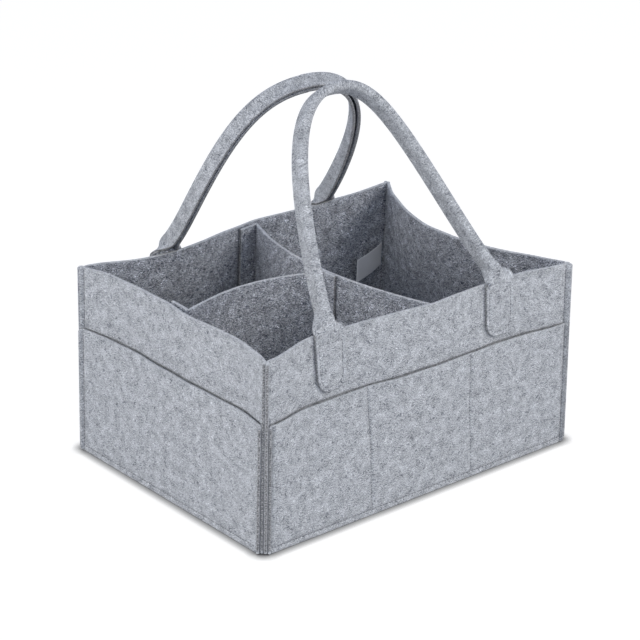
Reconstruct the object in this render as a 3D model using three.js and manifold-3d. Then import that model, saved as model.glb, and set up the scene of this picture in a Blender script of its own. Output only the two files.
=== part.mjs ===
// Felt storage basket: a sewn felt box with outer pockets, two folded strip handles and a loose T-shaped divider.
// Millimetres, +Z up. The origin is the middle of the underside, on the surface that the basket stands on.
// The front is towards -Y and the right end is towards +X.
import * as THREE from 'three';
import { mergeVertices } from 'three/addons/utils/BufferGeometryUtils.js';
import Module from 'manifold-3d';

// Felt and seams
const FELT = 3; // thickness of every felt panel
const SEAM_GAP = 0.3; // air left between two layers that lie on each other
const LIP = 7.2; // seam lip turned outward at every upright corner
const SEAM_ALLOWANCE = 5; // edge of the base turned down into the bottom seam
const BASE_CORNER = 4; // rounding of the base panel's corners

// Box
const LENGTH = 364; // outside of the end walls
const WIDTH = 261; // outside of the long walls
const HEIGHT = 180; // top edge of the walls
const POCKET_HEIGHT = 121; // top edge of the pockets

// How far the top edges stand in from the upright
const LEFT_BOW = 9; // middle of the left end wall
const RIGHT_BOW = 40; // middle of the right end wall, which no divider holds
const FRONT_PULL = 13; // front wall under its handle tabs
const BACK_PULL = 10; // back wall under its handle tabs
const FRONT_HELD = 7; // front wall between its tabs, where the divider holds it
const TAB_MARGIN = 3; // flat stretch of wall beside a tab

// Handle strips
const STRIP_WIDTH = 34; // width of the strip before it is folded
const TAB_SPACING = 198; // between the middles of a handle's two tabs
const TAB_TO_POCKET = 7; // bare wall between a tab and the pocket below it
const TAB_CORNER = 13; // rounding of a tab's lower corners
const FOLD_BORE = 1.5; // radius inside the strip's lengthwise fold
const FOLD_GAP = 0.6; // between the strip's raw edges where it is folded shut
const FOLD_RUN = 14; // length over which the flat strip folds shut
const LEAD_IN = 8; // length over which a leg turns from the wall's plane into its lean

// Arches: where their tops stand, and their shape in their own leaning plane
const FRONT_TO_MIDDLE = 3; // from the arch's top to the middle of the basket
const FRONT_RISE = 206;
const FRONT_BELLY = 25; // extra lean that is lost again towards the top
const FRONT_SHOULDER = 154; // height at which the legs aim
const FRONT_INSET = 33; // how far in they aim there
const FRONT_CROWN = 46; // half-length of the top's pull, which sets its roundness
const BACK_TO_MIDDLE = 37;
const BACK_RISE = 186;
const BACK_BELLY = 21;
const BACK_SHOULDER = 58;
const BACK_INSET = 14;
const BACK_CROWN = 99;

// Loose insert
const INSERT_PLAY = 0.5; // between the insert and the walls
const DIVIDER_DROP = 2; // top of the dividers below the walls' top edge
const CROSS_PLACE = 13; // cross divider's distance right of the middle, at the long walls
const CROSS_BOW = 24; // how far its middle bows to the left
const LONG_PLACE = -9; // long divider's ends, from the middle towards the back
const LONG_BOW = 18; // how far its middle bows to the back
const WALL_FLANGE = 23; // dividers' ends turned along the walls
const JOIN_FLANGE = 15; // long divider's end turned along the cross divider
const BEND = 5; // length of felt taken by each turned end's bend

// Care label
const LABEL_WIDTH = 29;
const LABEL_HEIGHT = 24;
const LABEL_THICK = 0.4;
const LABEL_BASE = 94; // lower edge above the ground
const LABEL_CURL = 9; // how far its free end stands off the wall

// Finishes
const FELT_GREY = 0xa7abb2;
const LABEL_WHITE = 0xe9e9e6;

// Numbers of facets
const BOW_STEPS = 16;
const EASE_STEPS = 6;
const BEND_STEPS = 10;
const FOLD_STEPS = 3;
const FOLD_RUN_STEPS = 8;
const ARCH_STEPS = 36;

// Sizes that follow
const BASE_TOP = SEAM_ALLOWANCE + FELT;
const LEAN_HEIGHT = HEIGHT - BASE_TOP;
const INNER_LENGTH = LENGTH - 2 * FELT;
const INNER_WIDTH = WIDTH - 2 * FELT;
const POCKET_INSIDE = FELT + SEAM_GAP;
const POCKET_OUTSIDE = POCKET_INSIDE + FELT;
const DIVIDER_BOTTOM = BASE_TOP + SEAM_GAP;
const DIVIDER_TOP = HEIGHT - DIVIDER_DROP;
const TAB_LENGTH = HEIGHT - POCKET_HEIGHT - TAB_TO_POCKET;
const HELD_BY_DIVIDER = WALL_FLANGE + FELT;
const TAB_INNER = (TAB_SPACING - STRIP_WIDTH) / 2 - TAB_MARGIN;
const TAB_OUTER = (TAB_SPACING + STRIP_WIDTH) / 2 + TAB_MARGIN;
const FOLD_RADIUS = FOLD_BORE + FELT / 2;
const FOLD_LEG = STRIP_WIDTH / 2 - (FOLD_RADIUS * Math.PI) / 2;
const FOLD_TURN = Math.PI / 2 + (FOLD_RADIUS - (FELT + FOLD_GAP) / 2) / FOLD_LEG;
const FOLD_ARC = FOLD_RADIUS * FOLD_TURN;

const wasm = await Module();
wasm.setup();

// Closed geometry to a solid for cutting
function toSolid(geometry) {
  const bare = geometry.clone();
  bare.deleteAttribute('normal');
  bare.deleteAttribute('uv');
  const merged = mergeVertices(bare);
  return new wasm.Manifold(new wasm.Mesh({
    numProp: 3,
    vertProperties: new Float32Array(merged.attributes.position.array),
    triVerts: new Uint32Array(merged.index.array),
  }));
}

// Solid back to geometry
function toGeometry(solid) {
  const mesh = solid.getMesh();
  const geometry = new THREE.BufferGeometry();
  geometry.setAttribute('position', new THREE.BufferAttribute(new Float32Array(mesh.vertProperties), 3));
  geometry.setIndex(Array.from(mesh.triVerts));
  geometry.computeVertexNormals();
  return geometry;
}

// Turns every face over if the closed mesh is inside out
function facingOut(points, faces) {
  const corner = new THREE.Vector3();
  const volume = faces.reduce((sum, [a, b, c]) => {
    corner.crossVectors(points[b], points[c]);
    return sum + points[a].dot(corner);
  }, 0);
  return volume > 0 ? faces : faces.map(([a, b, c]) => [a, c, b]);
}

// Closed solid through a row of rings. A ring runs along one face of a felt sheet and back along the other, so the
// point at each place has its partner across the thickness, and both faces are split along the same diagonals.
function loft(rings) {
  const size = rings[0].length;
  const half = size / 2;
  const points = rings.flat();
  const faces = [];
  for (let ring = 0; ring < rings.length - 1; ring += 1) {
    for (let place = 0; place < size; place += 1) {
      const next = (place + 1) % size;
      const a = ring * size + place;
      const b = ring * size + next;
      const c = a + size;
      const d = b + size;
      if (place < half) {
        faces.push([a, b, d], [a, d, c]);
      } else {
        faces.push([a, b, c], [b, d, c]);
      }
    }
  }
  const last = (rings.length - 1) * size;
  for (let place = 0; place < half - 1; place += 1) {
    const across = size - 1 - place;
    faces.push([place, across, place + 1], [place + 1, across, across - 1]);
    faces.push([last + place, last + place + 1, last + across], [last + place + 1, last + across - 1, last + across]);
  }
  const geometry = new THREE.BufferGeometry().setFromPoints(points);
  geometry.setIndex(facingOut(points, faces).flat());
  geometry.computeVertexNormals();
  return geometry;
}

// Line moved sideways in plan, to the right of its own direction, with mitred corners
function offsetLine(line, distance) {
  const sides = line.slice(1).map((point, place) => {
    const along = point.clone().sub(line[place]).normalize();
    return new THREE.Vector2(along.y, -along.x);
  });
  return line.map((point, place) => {
    const before = sides[Math.max(place - 1, 0)];
    const after = sides[Math.min(place, sides.length - 1)];
    const mitre = before.clone().add(after).divideScalar(1 + before.dot(after));
    return point.clone().addScaledVector(mitre, distance);
  });
}

// Felt sheet that stands on edge: its plan line at each level, given a near and a far face
function sheet(levels, lineAt, near, far) {
  const rings = levels.map((level) => {
    const line = lineAt(level);
    const outline = [...offsetLine(line, near), ...offsetLine(line, far).reverse()];
    return outline.map((point) => new THREE.Vector3(point.x, point.y, level));
  });
  return loft(rings);
}

// Even steps from one place to another, without the last
function stretch(from, to, steps) {
  return Array.from({ length: steps }, (unused, step) => from + ((to - from) * step) / steps);
}

function ease(share) {
  return (1 - Math.cos(Math.PI * THREE.MathUtils.clamp(share, 0, 1))) / 2;
}

// Walls are drawn as the front one, seen from the outside, and turned into place. A wall's plan line is its inner
// face, with a lip turned outward at each end.
function wallLine(innerLength, innerDepth, bowAt, places) {
  const end = innerLength / 2 - SEAM_GAP * Math.SQRT1_2;
  const lipReach = LIP * Math.SQRT1_2;
  const face = -innerDepth / 2;
  return (level) => {
    const rise = Math.max(0, (level - BASE_TOP) / LEAN_HEIGHT);
    return [
      new THREE.Vector2(-end - lipReach, face - lipReach),
      ...places(end).map((place) => new THREE.Vector2(place, face + rise * bowAt(place, end))),
      new THREE.Vector2(end + lipReach, face - lipReach),
    ];
  };
}

// A long wall is drawn in flat under each handle tab, less where the divider holds it and not at all at its ends
function longWallLine(pull, held) {
  const bowAt = (place, end) => {
    const along = Math.abs(place);
    const fromDivider = (along - HELD_BY_DIVIDER) / (TAB_INNER - HELD_BY_DIVIDER);
    const fromCorner = (end - along) / (end - TAB_OUTER);
    return Math.min(held + (pull - held) * ease(fromDivider), pull * ease(fromCorner));
  };
  const places = (end) => [
    ...stretch(-end, -TAB_OUTER, EASE_STEPS),
    -TAB_OUTER,
    ...stretch(-TAB_INNER, -HELD_BY_DIVIDER, EASE_STEPS),
    -HELD_BY_DIVIDER,
    ...stretch(HELD_BY_DIVIDER, TAB_INNER, EASE_STEPS),
    TAB_INNER,
    ...stretch(TAB_OUTER, end, EASE_STEPS),
    end,
  ];
  return wallLine(INNER_LENGTH, INNER_WIDTH, bowAt, places);
}

// An end wall bows in evenly between its corners
function endWallLine(bow) {
  const bowAt = (place, end) => bow * Math.cos((Math.PI / 2) * (place / end));
  const places = (end) => [...stretch(-end, end, BOW_STEPS), end];
  return wallLine(INNER_WIDTH, INNER_LENGTH, bowAt, places);
}

const POCKET_LEVELS = [0, BASE_TOP, (BASE_TOP + POCKET_HEIGHT) / 2, POCKET_HEIGHT];
const WALL_LEVELS = [...POCKET_LEVELS, HEIGHT];

function wallPanel(line) {
  return sheet(WALL_LEVELS, line, 0, FELT);
}

function pocketPanel(line) {
  return sheet(POCKET_LEVELS, line, POCKET_INSIDE, POCKET_OUTSIDE);
}

function roundedRectangle(length, width, radius) {
  const shape = new THREE.Shape();
  const x = length / 2 - radius;
  const y = width / 2 - radius;
  shape.absarc(x, y, radius, 0, Math.PI / 2);
  shape.absarc(-x, y, radius, Math.PI / 2, Math.PI);
  shape.absarc(-x, -y, radius, Math.PI, 1.5 * Math.PI);
  shape.absarc(x, -y, radius, 1.5 * Math.PI, 2 * Math.PI);
  return shape;
}

// Base panel: a flat sheet whose edge is turned down inside the walls
function basePanel() {
  const block = (inset, depth) => new THREE.ExtrudeGeometry(
    roundedRectangle(INNER_LENGTH - 2 * inset, INNER_WIDTH - 2 * inset, BASE_CORNER),
    { depth, bevelEnabled: false, curveSegments: 4 },
  );
  const outside = toSolid(block(SEAM_GAP, BASE_TOP));
  const underside = toSolid(block(SEAM_GAP + FELT, 2 * SEAM_ALLOWANCE).translate(0, 0, -SEAM_ALLOWANCE));
  return toGeometry(outside.subtract(underside));
}

// Where a long wall's outer face ends at the top, under a tab, and the wall's lean there
function tabSeat(pull) {
  return { top: -(WIDTH / 2 - pull), lean: Math.atan2(pull, LEAN_HEIGHT) };
}

// Flat sewn end of a handle strip, hanging from the wall's top edge with its lower corners rounded
function handleTab() {
  const shape = new THREE.Shape();
  const side = STRIP_WIDTH / 2;
  shape.moveTo(side, 0);
  shape.lineTo(-side, 0);
  shape.lineTo(-side, -TAB_LENGTH + TAB_CORNER);
  shape.absarc(-side + TAB_CORNER, -TAB_LENGTH + TAB_CORNER, TAB_CORNER, Math.PI, 1.5 * Math.PI);
  shape.absarc(side - TAB_CORNER, -TAB_LENGTH + TAB_CORNER, TAB_CORNER, 1.5 * Math.PI, 2 * Math.PI);
  const tab = new THREE.ExtrudeGeometry(shape, { depth: FELT, bevelEnabled: false, curveSegments: 5 });
  return tab.translate(0, 0, SEAM_GAP);
}

// Middle line of a handle strip from its left tab over the arch to its right one, for a handle on the front wall
class HandleLine extends THREE.Curve {
  constructor(arch) {
    super();
    this.arch = arch;
    this.leg = new THREE.CubicBezierCurve(
      new THREE.Vector2(TAB_SPACING / 2, 0),
      new THREE.Vector2(TAB_SPACING / 2 - arch.inset, arch.shoulder),
      new THREE.Vector2(arch.crown, arch.rise),
      new THREE.Vector2(0, arch.rise),
    );
    const seat = tabSeat(arch.pull);
    const outward = SEAM_GAP + FELT / 2;
    this.start = new THREE.Vector2(
      seat.top - outward * Math.cos(seat.lean),
      HEIGHT + SEAM_GAP + outward * Math.sin(seat.lean),
    );
    this.lean = Math.asin((-this.start.x - arch.toMiddle) / arch.rise);
  }

  getPoint(share, target = new THREE.Vector3()) {
    const { rise, belly } = this.arch;
    const side = share < 0.5 ? -1 : 1;
    const place = this.leg.getPoint(1 - Math.abs(2 * share - 1));
    const climb = place.y / rise;
    const turned = 1 - Math.exp(-place.y / LEAD_IN);
    const inward = (Math.sin(this.lean) * place.y + belly * climb * (1 - climb)) * turned;
    return target.set(
      side * (TAB_SPACING / 2 + (place.x - TAB_SPACING / 2) * turned),
      this.start.x + inward,
      this.start.y + Math.cos(this.lean) * place.y,
    );
  }
}

// Section of the strip, from flat (turn 0) to folded shut: places across it and depths towards the inside, first along
// the outer face and back along the inner one. It is centred on its own depth.
function stripSection(turn) {
  const halfWidth = STRIP_WIDTH / 2;
  const bends = Array.from({ length: FOLD_STEPS + 1 }, (unused, step) => (FOLD_ARC * step) / FOLD_STEPS);
  const lengths = [...bends, halfWidth];
  const middle = lengths.map((length) => {
    const bent = Math.min(length, FOLD_ARC);
    const angle = (turn * bent) / FOLD_ARC;
    const across = turn > 0 ? (FOLD_ARC / turn) * Math.sin(angle) : bent;
    const depth = turn > 0 ? (FOLD_ARC / turn) * (1 - Math.cos(angle)) : 0;
    const straight = length - bent;
    return { angle, across: across + straight * Math.cos(angle), depth: depth + straight * Math.sin(angle) };
  });
  const centre = middle[middle.length - 1].depth / 2;
  const face = (offset) => {
    const right = middle.map(({ angle, across, depth }) => new THREE.Vector2(
      across - offset * Math.sin(angle),
      depth - centre + offset * Math.cos(angle),
    ));
    const left = right.slice(1).map((point) => new THREE.Vector2(-point.x, point.y));
    return [...left.reverse(), ...right];
  };
  return [...face(-FELT / 2), ...face(FELT / 2).reverse()];
}

// Handle strip: flat where it leaves its tabs, folded in half over the arch with its raw edges towards the inside
function handleStrip(arch) {
  const line = new HandleLine(arch);
  const length = line.getLength();
  const inside = new THREE.Vector3(0, Math.cos(line.lean), -Math.sin(line.lean));
  const runs = [
    ...stretch(0, FOLD_RUN, FOLD_RUN_STEPS),
    ...stretch(FOLD_RUN, length - FOLD_RUN, ARCH_STEPS),
    ...stretch(length - FOLD_RUN, length, FOLD_RUN_STEPS),
    length,
  ];
  const rings = runs.map((run) => {
    const centre = line.getPointAt(run / length);
    const along = line.getTangentAt(run / length);
    const depthwise = inside.clone().addScaledVector(along, -inside.dot(along)).normalize();
    const across = new THREE.Vector3().crossVectors(along, depthwise);
    const turn = FOLD_TURN * ease(Math.min(run, length - run) / FOLD_RUN);
    return stripSection(turn).map((point) => centre.clone()
      .addScaledVector(across, point.x)
      .addScaledVector(depthwise, point.y));
  });
  return loft(rings);
}

// Where the felt starts to bend before a corner
function intoBend(corner, towards) {
  return corner.clone().add(towards.clone().sub(corner).setLength(BEND));
}

// Plan line of a divider: a bowed run between two corners, each with its end turned along a wall or another panel
function dividerLine(start, control, finish) {
  const path = new THREE.Path();
  const points = [
    intoBend(start.corner, start.end),
    intoBend(start.corner, control),
    intoBend(finish.corner, control),
    intoBend(finish.corner, finish.end),
  ];
  path.moveTo(start.end.x, start.end.y);
  path.lineTo(points[0].x, points[0].y);
  path.quadraticCurveTo(start.corner.x, start.corner.y, points[1].x, points[1].y);
  path.quadraticCurveTo(control.x, control.y, points[2].x, points[2].y);
  path.quadraticCurveTo(finish.corner.x, finish.corner.y, points[3].x, points[3].y);
  path.lineTo(finish.end.x, finish.end.y);
  return path.getPoints(BEND_STEPS);
}

function dividerPanel(line) {
  return sheet([DIVIDER_BOTTOM, DIVIDER_TOP], () => line, -FELT / 2, FELT / 2);
}

// Cross divider, from the back wall to the front wall, with both ends turned to the left
const crossReach = (INNER_WIDTH - FRONT_HELD - FELT) / 2 - INSERT_PLAY;
const crossMiddle = FRONT_HELD / 2;
const crossControl = new THREE.Vector2(CROSS_PLACE - 2 * CROSS_BOW, crossMiddle);
function crossEnd(side) {
  const y = crossMiddle + side * crossReach;
  return {
    corner: new THREE.Vector2(CROSS_PLACE, y),
    end: new THREE.Vector2(CROSS_PLACE - WALL_FLANGE, y),
  };
}

// Long divider, from the left end wall to the cross divider's left face
function longDividerLine() {
  const wallFace = -(INNER_LENGTH / 2 - LEFT_BOW - INSERT_PLAY - FELT / 2);
  const bowEnd = intoBend(crossEnd(1).corner, crossControl);
  const crossFace = (y) => {
    const bowed = (1 - ((y - crossMiddle) / (bowEnd.y - crossMiddle)) ** 2) / 2;
    return bowEnd.x + (crossControl.x - bowEnd.x) * bowed - FELT - SEAM_GAP;
  };
  const joinEnd = LONG_PLACE - JOIN_FLANGE;
  const start = {
    corner: new THREE.Vector2(wallFace, LONG_PLACE),
    end: new THREE.Vector2(wallFace, LONG_PLACE + WALL_FLANGE),
  };
  const finish = {
    corner: new THREE.Vector2(crossFace(LONG_PLACE), LONG_PLACE),
    end: new THREE.Vector2(crossFace(joinEnd), joinEnd),
  };
  const control = new THREE.Vector2((start.corner.x + finish.corner.x) / 2, LONG_PLACE + 2 * LONG_BOW);
  return dividerLine(start, control, finish);
}

// Care label caught in the seam of the back and right walls, with its free end curling off the back wall
function careLabel() {
  const seam = new THREE.Vector2(INNER_LENGTH / 2 - FELT, INNER_WIDTH / 2 - SEAM_GAP - LABEL_THICK);
  const curl = new THREE.QuadraticBezierCurve(
    seam,
    new THREE.Vector2(seam.x - LABEL_WIDTH / 2, seam.y),
    new THREE.Vector2(seam.x - LABEL_WIDTH, seam.y - LABEL_CURL),
  );
  const line = curl.getPoints(BEND_STEPS);
  return sheet([LABEL_BASE, LABEL_BASE + LABEL_HEIGHT], () => line, -LABEL_THICK, 0);
}

const FRONT_ARCH = {
  toMiddle: FRONT_TO_MIDDLE,
  rise: FRONT_RISE,
  belly: FRONT_BELLY,
  shoulder: FRONT_SHOULDER,
  inset: FRONT_INSET,
  crown: FRONT_CROWN,
  pull: FRONT_PULL,
};
const BACK_ARCH = {
  toMiddle: BACK_TO_MIDDLE,
  rise: BACK_RISE,
  belly: BACK_BELLY,
  shoulder: BACK_SHOULDER,
  inset: BACK_INSET,
  crown: BACK_CROWN,
  pull: BACK_PULL,
};

const basket = new THREE.Group();

function addPiece(parent, name, geometry, colour = FELT_GREY) {
  const material = new THREE.MeshStandardMaterial({ color: colour, roughness: 0.95, metalness: 0 });
  const mesh = new THREE.Mesh(geometry, material);
  mesh.name = name;
  parent.add(mesh);
  return mesh;
}

// Each side of the box is a group drawn at the front and turned about the upright
const sides = [
  { name: 'front', turn: 0, line: longWallLine(FRONT_PULL, FRONT_HELD), arch: FRONT_ARCH, hands: ['left', 'right'] },
  { name: 'right_end', turn: Math.PI / 2, line: endWallLine(RIGHT_BOW) },
  { name: 'back', turn: Math.PI, line: longWallLine(BACK_PULL, 0), arch: BACK_ARCH, hands: ['right', 'left'] },
  { name: 'left_end', turn: 1.5 * Math.PI, line: endWallLine(LEFT_BOW) },
];
sides.forEach(({ name, turn, line, arch, hands }) => {
  const side = new THREE.Group();
  side.rotation.z = turn;
  basket.add(side);
  addPiece(side, `${name}_wall`, wallPanel(line));
  addPiece(side, `${name}_pocket`, pocketPanel(line));
  if (!arch) {
    return;
  }
  addPiece(side, `${name}_handle`, handleStrip(arch));
  hands.forEach((hand, place) => {
    const seat = tabSeat(arch.pull);
    const tab = addPiece(side, `${name}_handle_tab_${hand}`, handleTab());
    tab.position.set((place - 0.5) * TAB_SPACING, seat.top, HEIGHT);
    tab.rotation.x = Math.PI / 2 - seat.lean;
  });
});
addPiece(basket, 'base_panel', basePanel());
addPiece(basket, 'cross_divider', dividerPanel(dividerLine(crossEnd(1), crossControl, crossEnd(-1))));
addPiece(basket, 'long_divider', dividerPanel(longDividerLine()));
addPiece(basket, 'care_label', careLabel(), LABEL_WHITE);

export default basket;
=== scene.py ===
"""Felt storage basket: sewn walls and pockets, folded strip handles, a loose divider and a woven tag.

Metres, +Z up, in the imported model's own frame. The front is towards -Y and the right end towards +X.
"""

import math

import bpy
import numpy as np
from mathutils import Matrix, Vector


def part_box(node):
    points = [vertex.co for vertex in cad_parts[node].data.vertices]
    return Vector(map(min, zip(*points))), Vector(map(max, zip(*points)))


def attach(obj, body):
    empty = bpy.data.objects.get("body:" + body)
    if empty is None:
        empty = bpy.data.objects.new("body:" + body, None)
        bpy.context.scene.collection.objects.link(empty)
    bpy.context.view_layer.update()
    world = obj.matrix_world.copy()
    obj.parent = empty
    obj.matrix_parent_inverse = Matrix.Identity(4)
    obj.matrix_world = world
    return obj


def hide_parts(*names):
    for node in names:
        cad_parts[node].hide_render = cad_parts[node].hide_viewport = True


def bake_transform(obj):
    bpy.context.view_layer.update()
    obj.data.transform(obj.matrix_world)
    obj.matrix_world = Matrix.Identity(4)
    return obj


bl_info = {
    "name": "Felt Storage Basket",
    "version": (1, 0, 0),
    "blender": (4, 5, 0),
    "location": "3D View > Sidebar > Basket",
    "description": "Sews a felt storage basket round its packed model",
    "category": "Add Mesh",
}

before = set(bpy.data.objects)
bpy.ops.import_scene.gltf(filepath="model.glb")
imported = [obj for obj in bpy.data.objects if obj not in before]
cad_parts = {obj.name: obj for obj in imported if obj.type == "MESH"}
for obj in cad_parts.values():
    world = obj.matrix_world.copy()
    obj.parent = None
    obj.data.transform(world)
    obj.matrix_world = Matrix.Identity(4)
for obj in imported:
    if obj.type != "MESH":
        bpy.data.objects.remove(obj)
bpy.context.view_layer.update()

# Gap between sewn panels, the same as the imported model's
SEAM_GAP = 0.0003

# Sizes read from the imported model
BASE_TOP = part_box("base_panel")[1].z
INNER_LENGTH = 2 * (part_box("base_panel")[1].x + SEAM_GAP)
INNER_WIDTH = 2 * (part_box("base_panel")[1].y + SEAM_GAP)
WALL_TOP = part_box("front_wall")[1].z
POCKET_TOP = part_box("front_pocket")[1].z
TAB_LOW, TAB_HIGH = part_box("front_handle_tab_right")
TAB_PLACE = (TAB_LOW.x + TAB_HIGH.x) / 2
STRIP_WIDTH = TAB_HIGH.x - TAB_LOW.x
TAB_LENGTH = WALL_TOP - TAB_LOW.z
DIVIDER_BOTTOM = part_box("cross_divider")[0].z
DIVIDER_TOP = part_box("cross_divider")[1].z
LABEL_LOW, LABEL_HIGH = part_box("care_label")

# Spacing of mesh points
PANEL_STEP = 0.003
SEAM_STEP = 0.0006
SEAM_REACH = 0.003
BASE_STEP = 0.006
DIVIDER_STEP = 0.0009

# Numbers of mesh points
LIP_POINTS = 6
TAB_SEAM_POINTS = 9
BASE_RIM_POINTS = 12
DIVIDER_CURVE_POINTS = 40
TAG_LENGTH_POINTS = 31
TAG_HEIGHT_POINTS = 25

# Slow waves of the felt panels: length along, length up and share of the height of each
RIPPLES = ((0.083, 0.117, 1.0), (0.047, -0.071, 0.6))

# Their fade at a panel's edges, and the number of places along them at which the sides start
RIPPLE_FADE = 0.03
RIPPLE_STARTS = 3

# Places on the felt's pattern, apart so that no two pieces show the same fibres. Panels are moved by
# SIDE_PATTERN for each side of the box and by HEIGHT_PATTERN times their height. A second handle or divider
# is moved by NEXT_PATTERN.
SIDE_PATTERN = 0.7
HEIGHT_PATTERN = 5
BASE_PATTERN = (3.0, 1.0)
HANDLE_PATTERN = (4.0, 2.0)
DIVIDER_PATTERN = (6.0, 3.0)
NEXT_PATTERN = (1.0, 0.0)

# How much of the cut felt shows on each ring of points round a raw edge, and how much paler other edges are
# painted as a highlight where their fuzz catches light
RAW_EDGE_RINGS = (0.3, 0.85, 0.85, 0.3)
EDGE_HIGHLIGHT = 0.35

# How much shade is painted on a sheet's front and back: inner faces get stronger fibres, more contrast and a
# darker, bluer tint
BACK_PAINTED_SHADE = (0.0, 1.0)
FRONT_PAINTED_SHADE = (1.0, 0.0)
BOTH_PAINTED_SHADE = (1.0, 1.0)

# Least length that is divided by
TINY = 1e-12


def size(name, default, description):
    """Length that a user may change."""
    return bpy.props.FloatProperty(
        name=name, description=description, default=default, unit="LENGTH", precision=5)


def angle(name, degrees, description):
    """Angle that a user may change."""
    default = math.radians(degrees)
    return bpy.props.FloatProperty(name=name, description=description, default=default, subtype="ANGLE")


def number(name, default, description):
    """Plain number that a user may change."""
    return bpy.props.FloatProperty(name=name, description=description, default=default)


def colour(name, default, description):
    """Colour that a user may change."""
    return bpy.props.FloatVectorProperty(
        name=name, description=description, default=default, subtype="COLOR", min=0, max=1)


def shift(name, default, description):
    """Sideways move in plan that a user may change."""
    return bpy.props.FloatVectorProperty(
        name=name, description=description, default=default, size=2, unit="LENGTH", precision=5)


class PanelSizes(bpy.types.PropertyGroup):
    """Felt panels of the box and how they hang."""

    felt: size("Felt", 0.003, "Thickness of every felt panel")
    rounding: size("Edge rounding", 0.0007, "Rounding of a cut edge")
    lip: size("Seam lip", 0.0072, "Felt turned outward at an upright seam")
    lip_short: size("Short lip", 0.0013, "How much shorter every second layer of an upright seam is")
    lip_bend: size("Lip bend", 0.002, "Radius of the bend at a lip")
    front_left_pull: size("Front left pull", 0.015, "Front wall drawn in under its left tab")
    front_right_pull: size("Front right pull", 0.009, "Front wall drawn in under its right tab")
    front_held: size("Front held", 0.006, "Front wall drawn in where the divider holds it")
    back_left_pull: size("Back left pull", 0.018, "Back wall drawn in under its left tab")
    back_right_pull: size("Back right pull", 0.002, "Back wall drawn in under its right tab")
    back_held: size("Back held", 0.0, "Back wall drawn in where the divider holds it")
    left_bow: size("Left bow", 0.0115, "Left end wall drawn in either side of the divider")
    left_held: size("Left held", 0.008, "Left end wall drawn in where the divider holds it")
    right_bow: size("Right bow", 0.042, "Right end wall drawn in at its middle")
    near_corner: shift("Front left corner", (-0.0015, 0.0), "Top corner's move")
    far_left_corner: shift("Back left corner", (0.0006, 0.0026), "Top corner's move")
    far_right_corner: shift("Back right corner", (0.0019, -0.0028), "Top corner's move")
    near_right_corner: shift("Front right corner", (-0.0032, 0.0019), "Top corner's move")
    far_right_peak: bpy.props.FloatVectorProperty(
        name="Back right peak", description="Back right corner drawn out and up, close to its seam",
        default=(0.0028, 0.0, 0.0028), subtype="XYZ", unit="LENGTH", precision=5)
    front_sway: size("Front sway", 0.001, "Front wall's top drawn to its left")
    back_sway: size("Back sway", 0.0, "Back wall's top drawn to its left, seen from behind")
    lip_corner: size("Lip corner", 0.005, "Rounding of a lip's lower end")
    ripple: size("Ripple", 0.0005, "Height of the slow waves in a panel")
    pocket_mouth: size("Pocket mouth", 0.0013, "Pocket's edge standing off the wall")
    mouth_slit: size("Mouth slit", 0.0014, "Wall pressed in behind a pocket's edge")
    pocket_swell: size("Pocket swell", 0.0008, "Pocket standing off the wall lower down")
    pocket_seam: size("Pocket seam", 0.060, "Upright pocket seam's distance from the middle")
    base_rim: size("Base bend", 0.004, "Radius at which the base's edge turns down")


class HandleSizes(bpy.types.PropertyGroup):
    """Folded strip handles."""

    tab_corner: size("Tab corner", 0.013, "Rounding of a tab's lower corners")
    fold_bore: size("Fold bore", 0.0015, "Radius inside the lengthwise fold")
    fold_gap: size("Fold gap", 0.0022, "Between the raw edges where the strip is folded")
    front_fold: size("Front fold", 0.022, "Length over which the front strip folds above its tabs")
    back_fold: size("Back fold", 0.023, "Length over which the back strip folds above its tabs")
    front_close: number("Front close", 1.7, "How much sooner the front strip closes near its tabs")
    back_close: number("Back close", 3.0, "How much sooner the back strip closes near its tabs")
    front_sunk: size("Front sunk", 0.0, "Depth below the wall's top at which the front strip begins to fold")
    back_sunk: size("Back sunk", 0.002, "Depth below the wall's top at which the back strip begins to fold")
    front_twist: angle("Front twist", 0.0, "Turn of the front strip in its left leg")
    back_twist: angle("Back twist", 20.0, "Turn of the back strip in its left leg, seen from behind")
    lead_in: size("Lead-in", 0.008, "Length over which a leg turns into its lean")
    foot_fade: size("Foot fade", 0.060, "Length over which uneven feet even out")
    front_to_middle: size("Front to middle", 0.003, "Front arch's top from the middle")
    front_rise: size("Front rise", 0.2052, "Front arch's height in its leaning plane")
    front_belly: size("Front belly", 0.025, "Front arch's extra lean half way up")
    front_shoulder: size("Front shoulder", 0.154, "Height at which the front legs aim")
    front_inset: size("Front inset", 0.033, "How far in the front legs aim")
    front_crown: size("Front crown", 0.046, "Pull of the front arch's top")
    front_drift: size("Front drift", 0.003, "Front arch drawn to its left above its tabs")
    back_drift: size("Back drift", 0.001, "Back arch drawn to its left above its tabs, seen from behind")
    front_skew: size("Front skew", 0.0015, "Front arch's top drawn to its right")
    back_skew: size("Back skew", 0.004, "Back arch's top drawn to its right, seen from behind")
    back_to_middle: size("Back to middle", 0.037, "Back arch's top from the middle")
    back_rise: size("Back rise", 0.1831, "Back arch's height in its leaning plane")
    back_belly: size("Back belly", 0.021, "Back arch's extra lean half way up")
    back_shoulder: size("Back shoulder", 0.058, "Height at which the back legs aim")
    back_inset: size("Back inset", 0.014, "How far in the back legs aim")
    back_crown: size("Back crown", 0.099, "Pull of the back arch's top")


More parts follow.
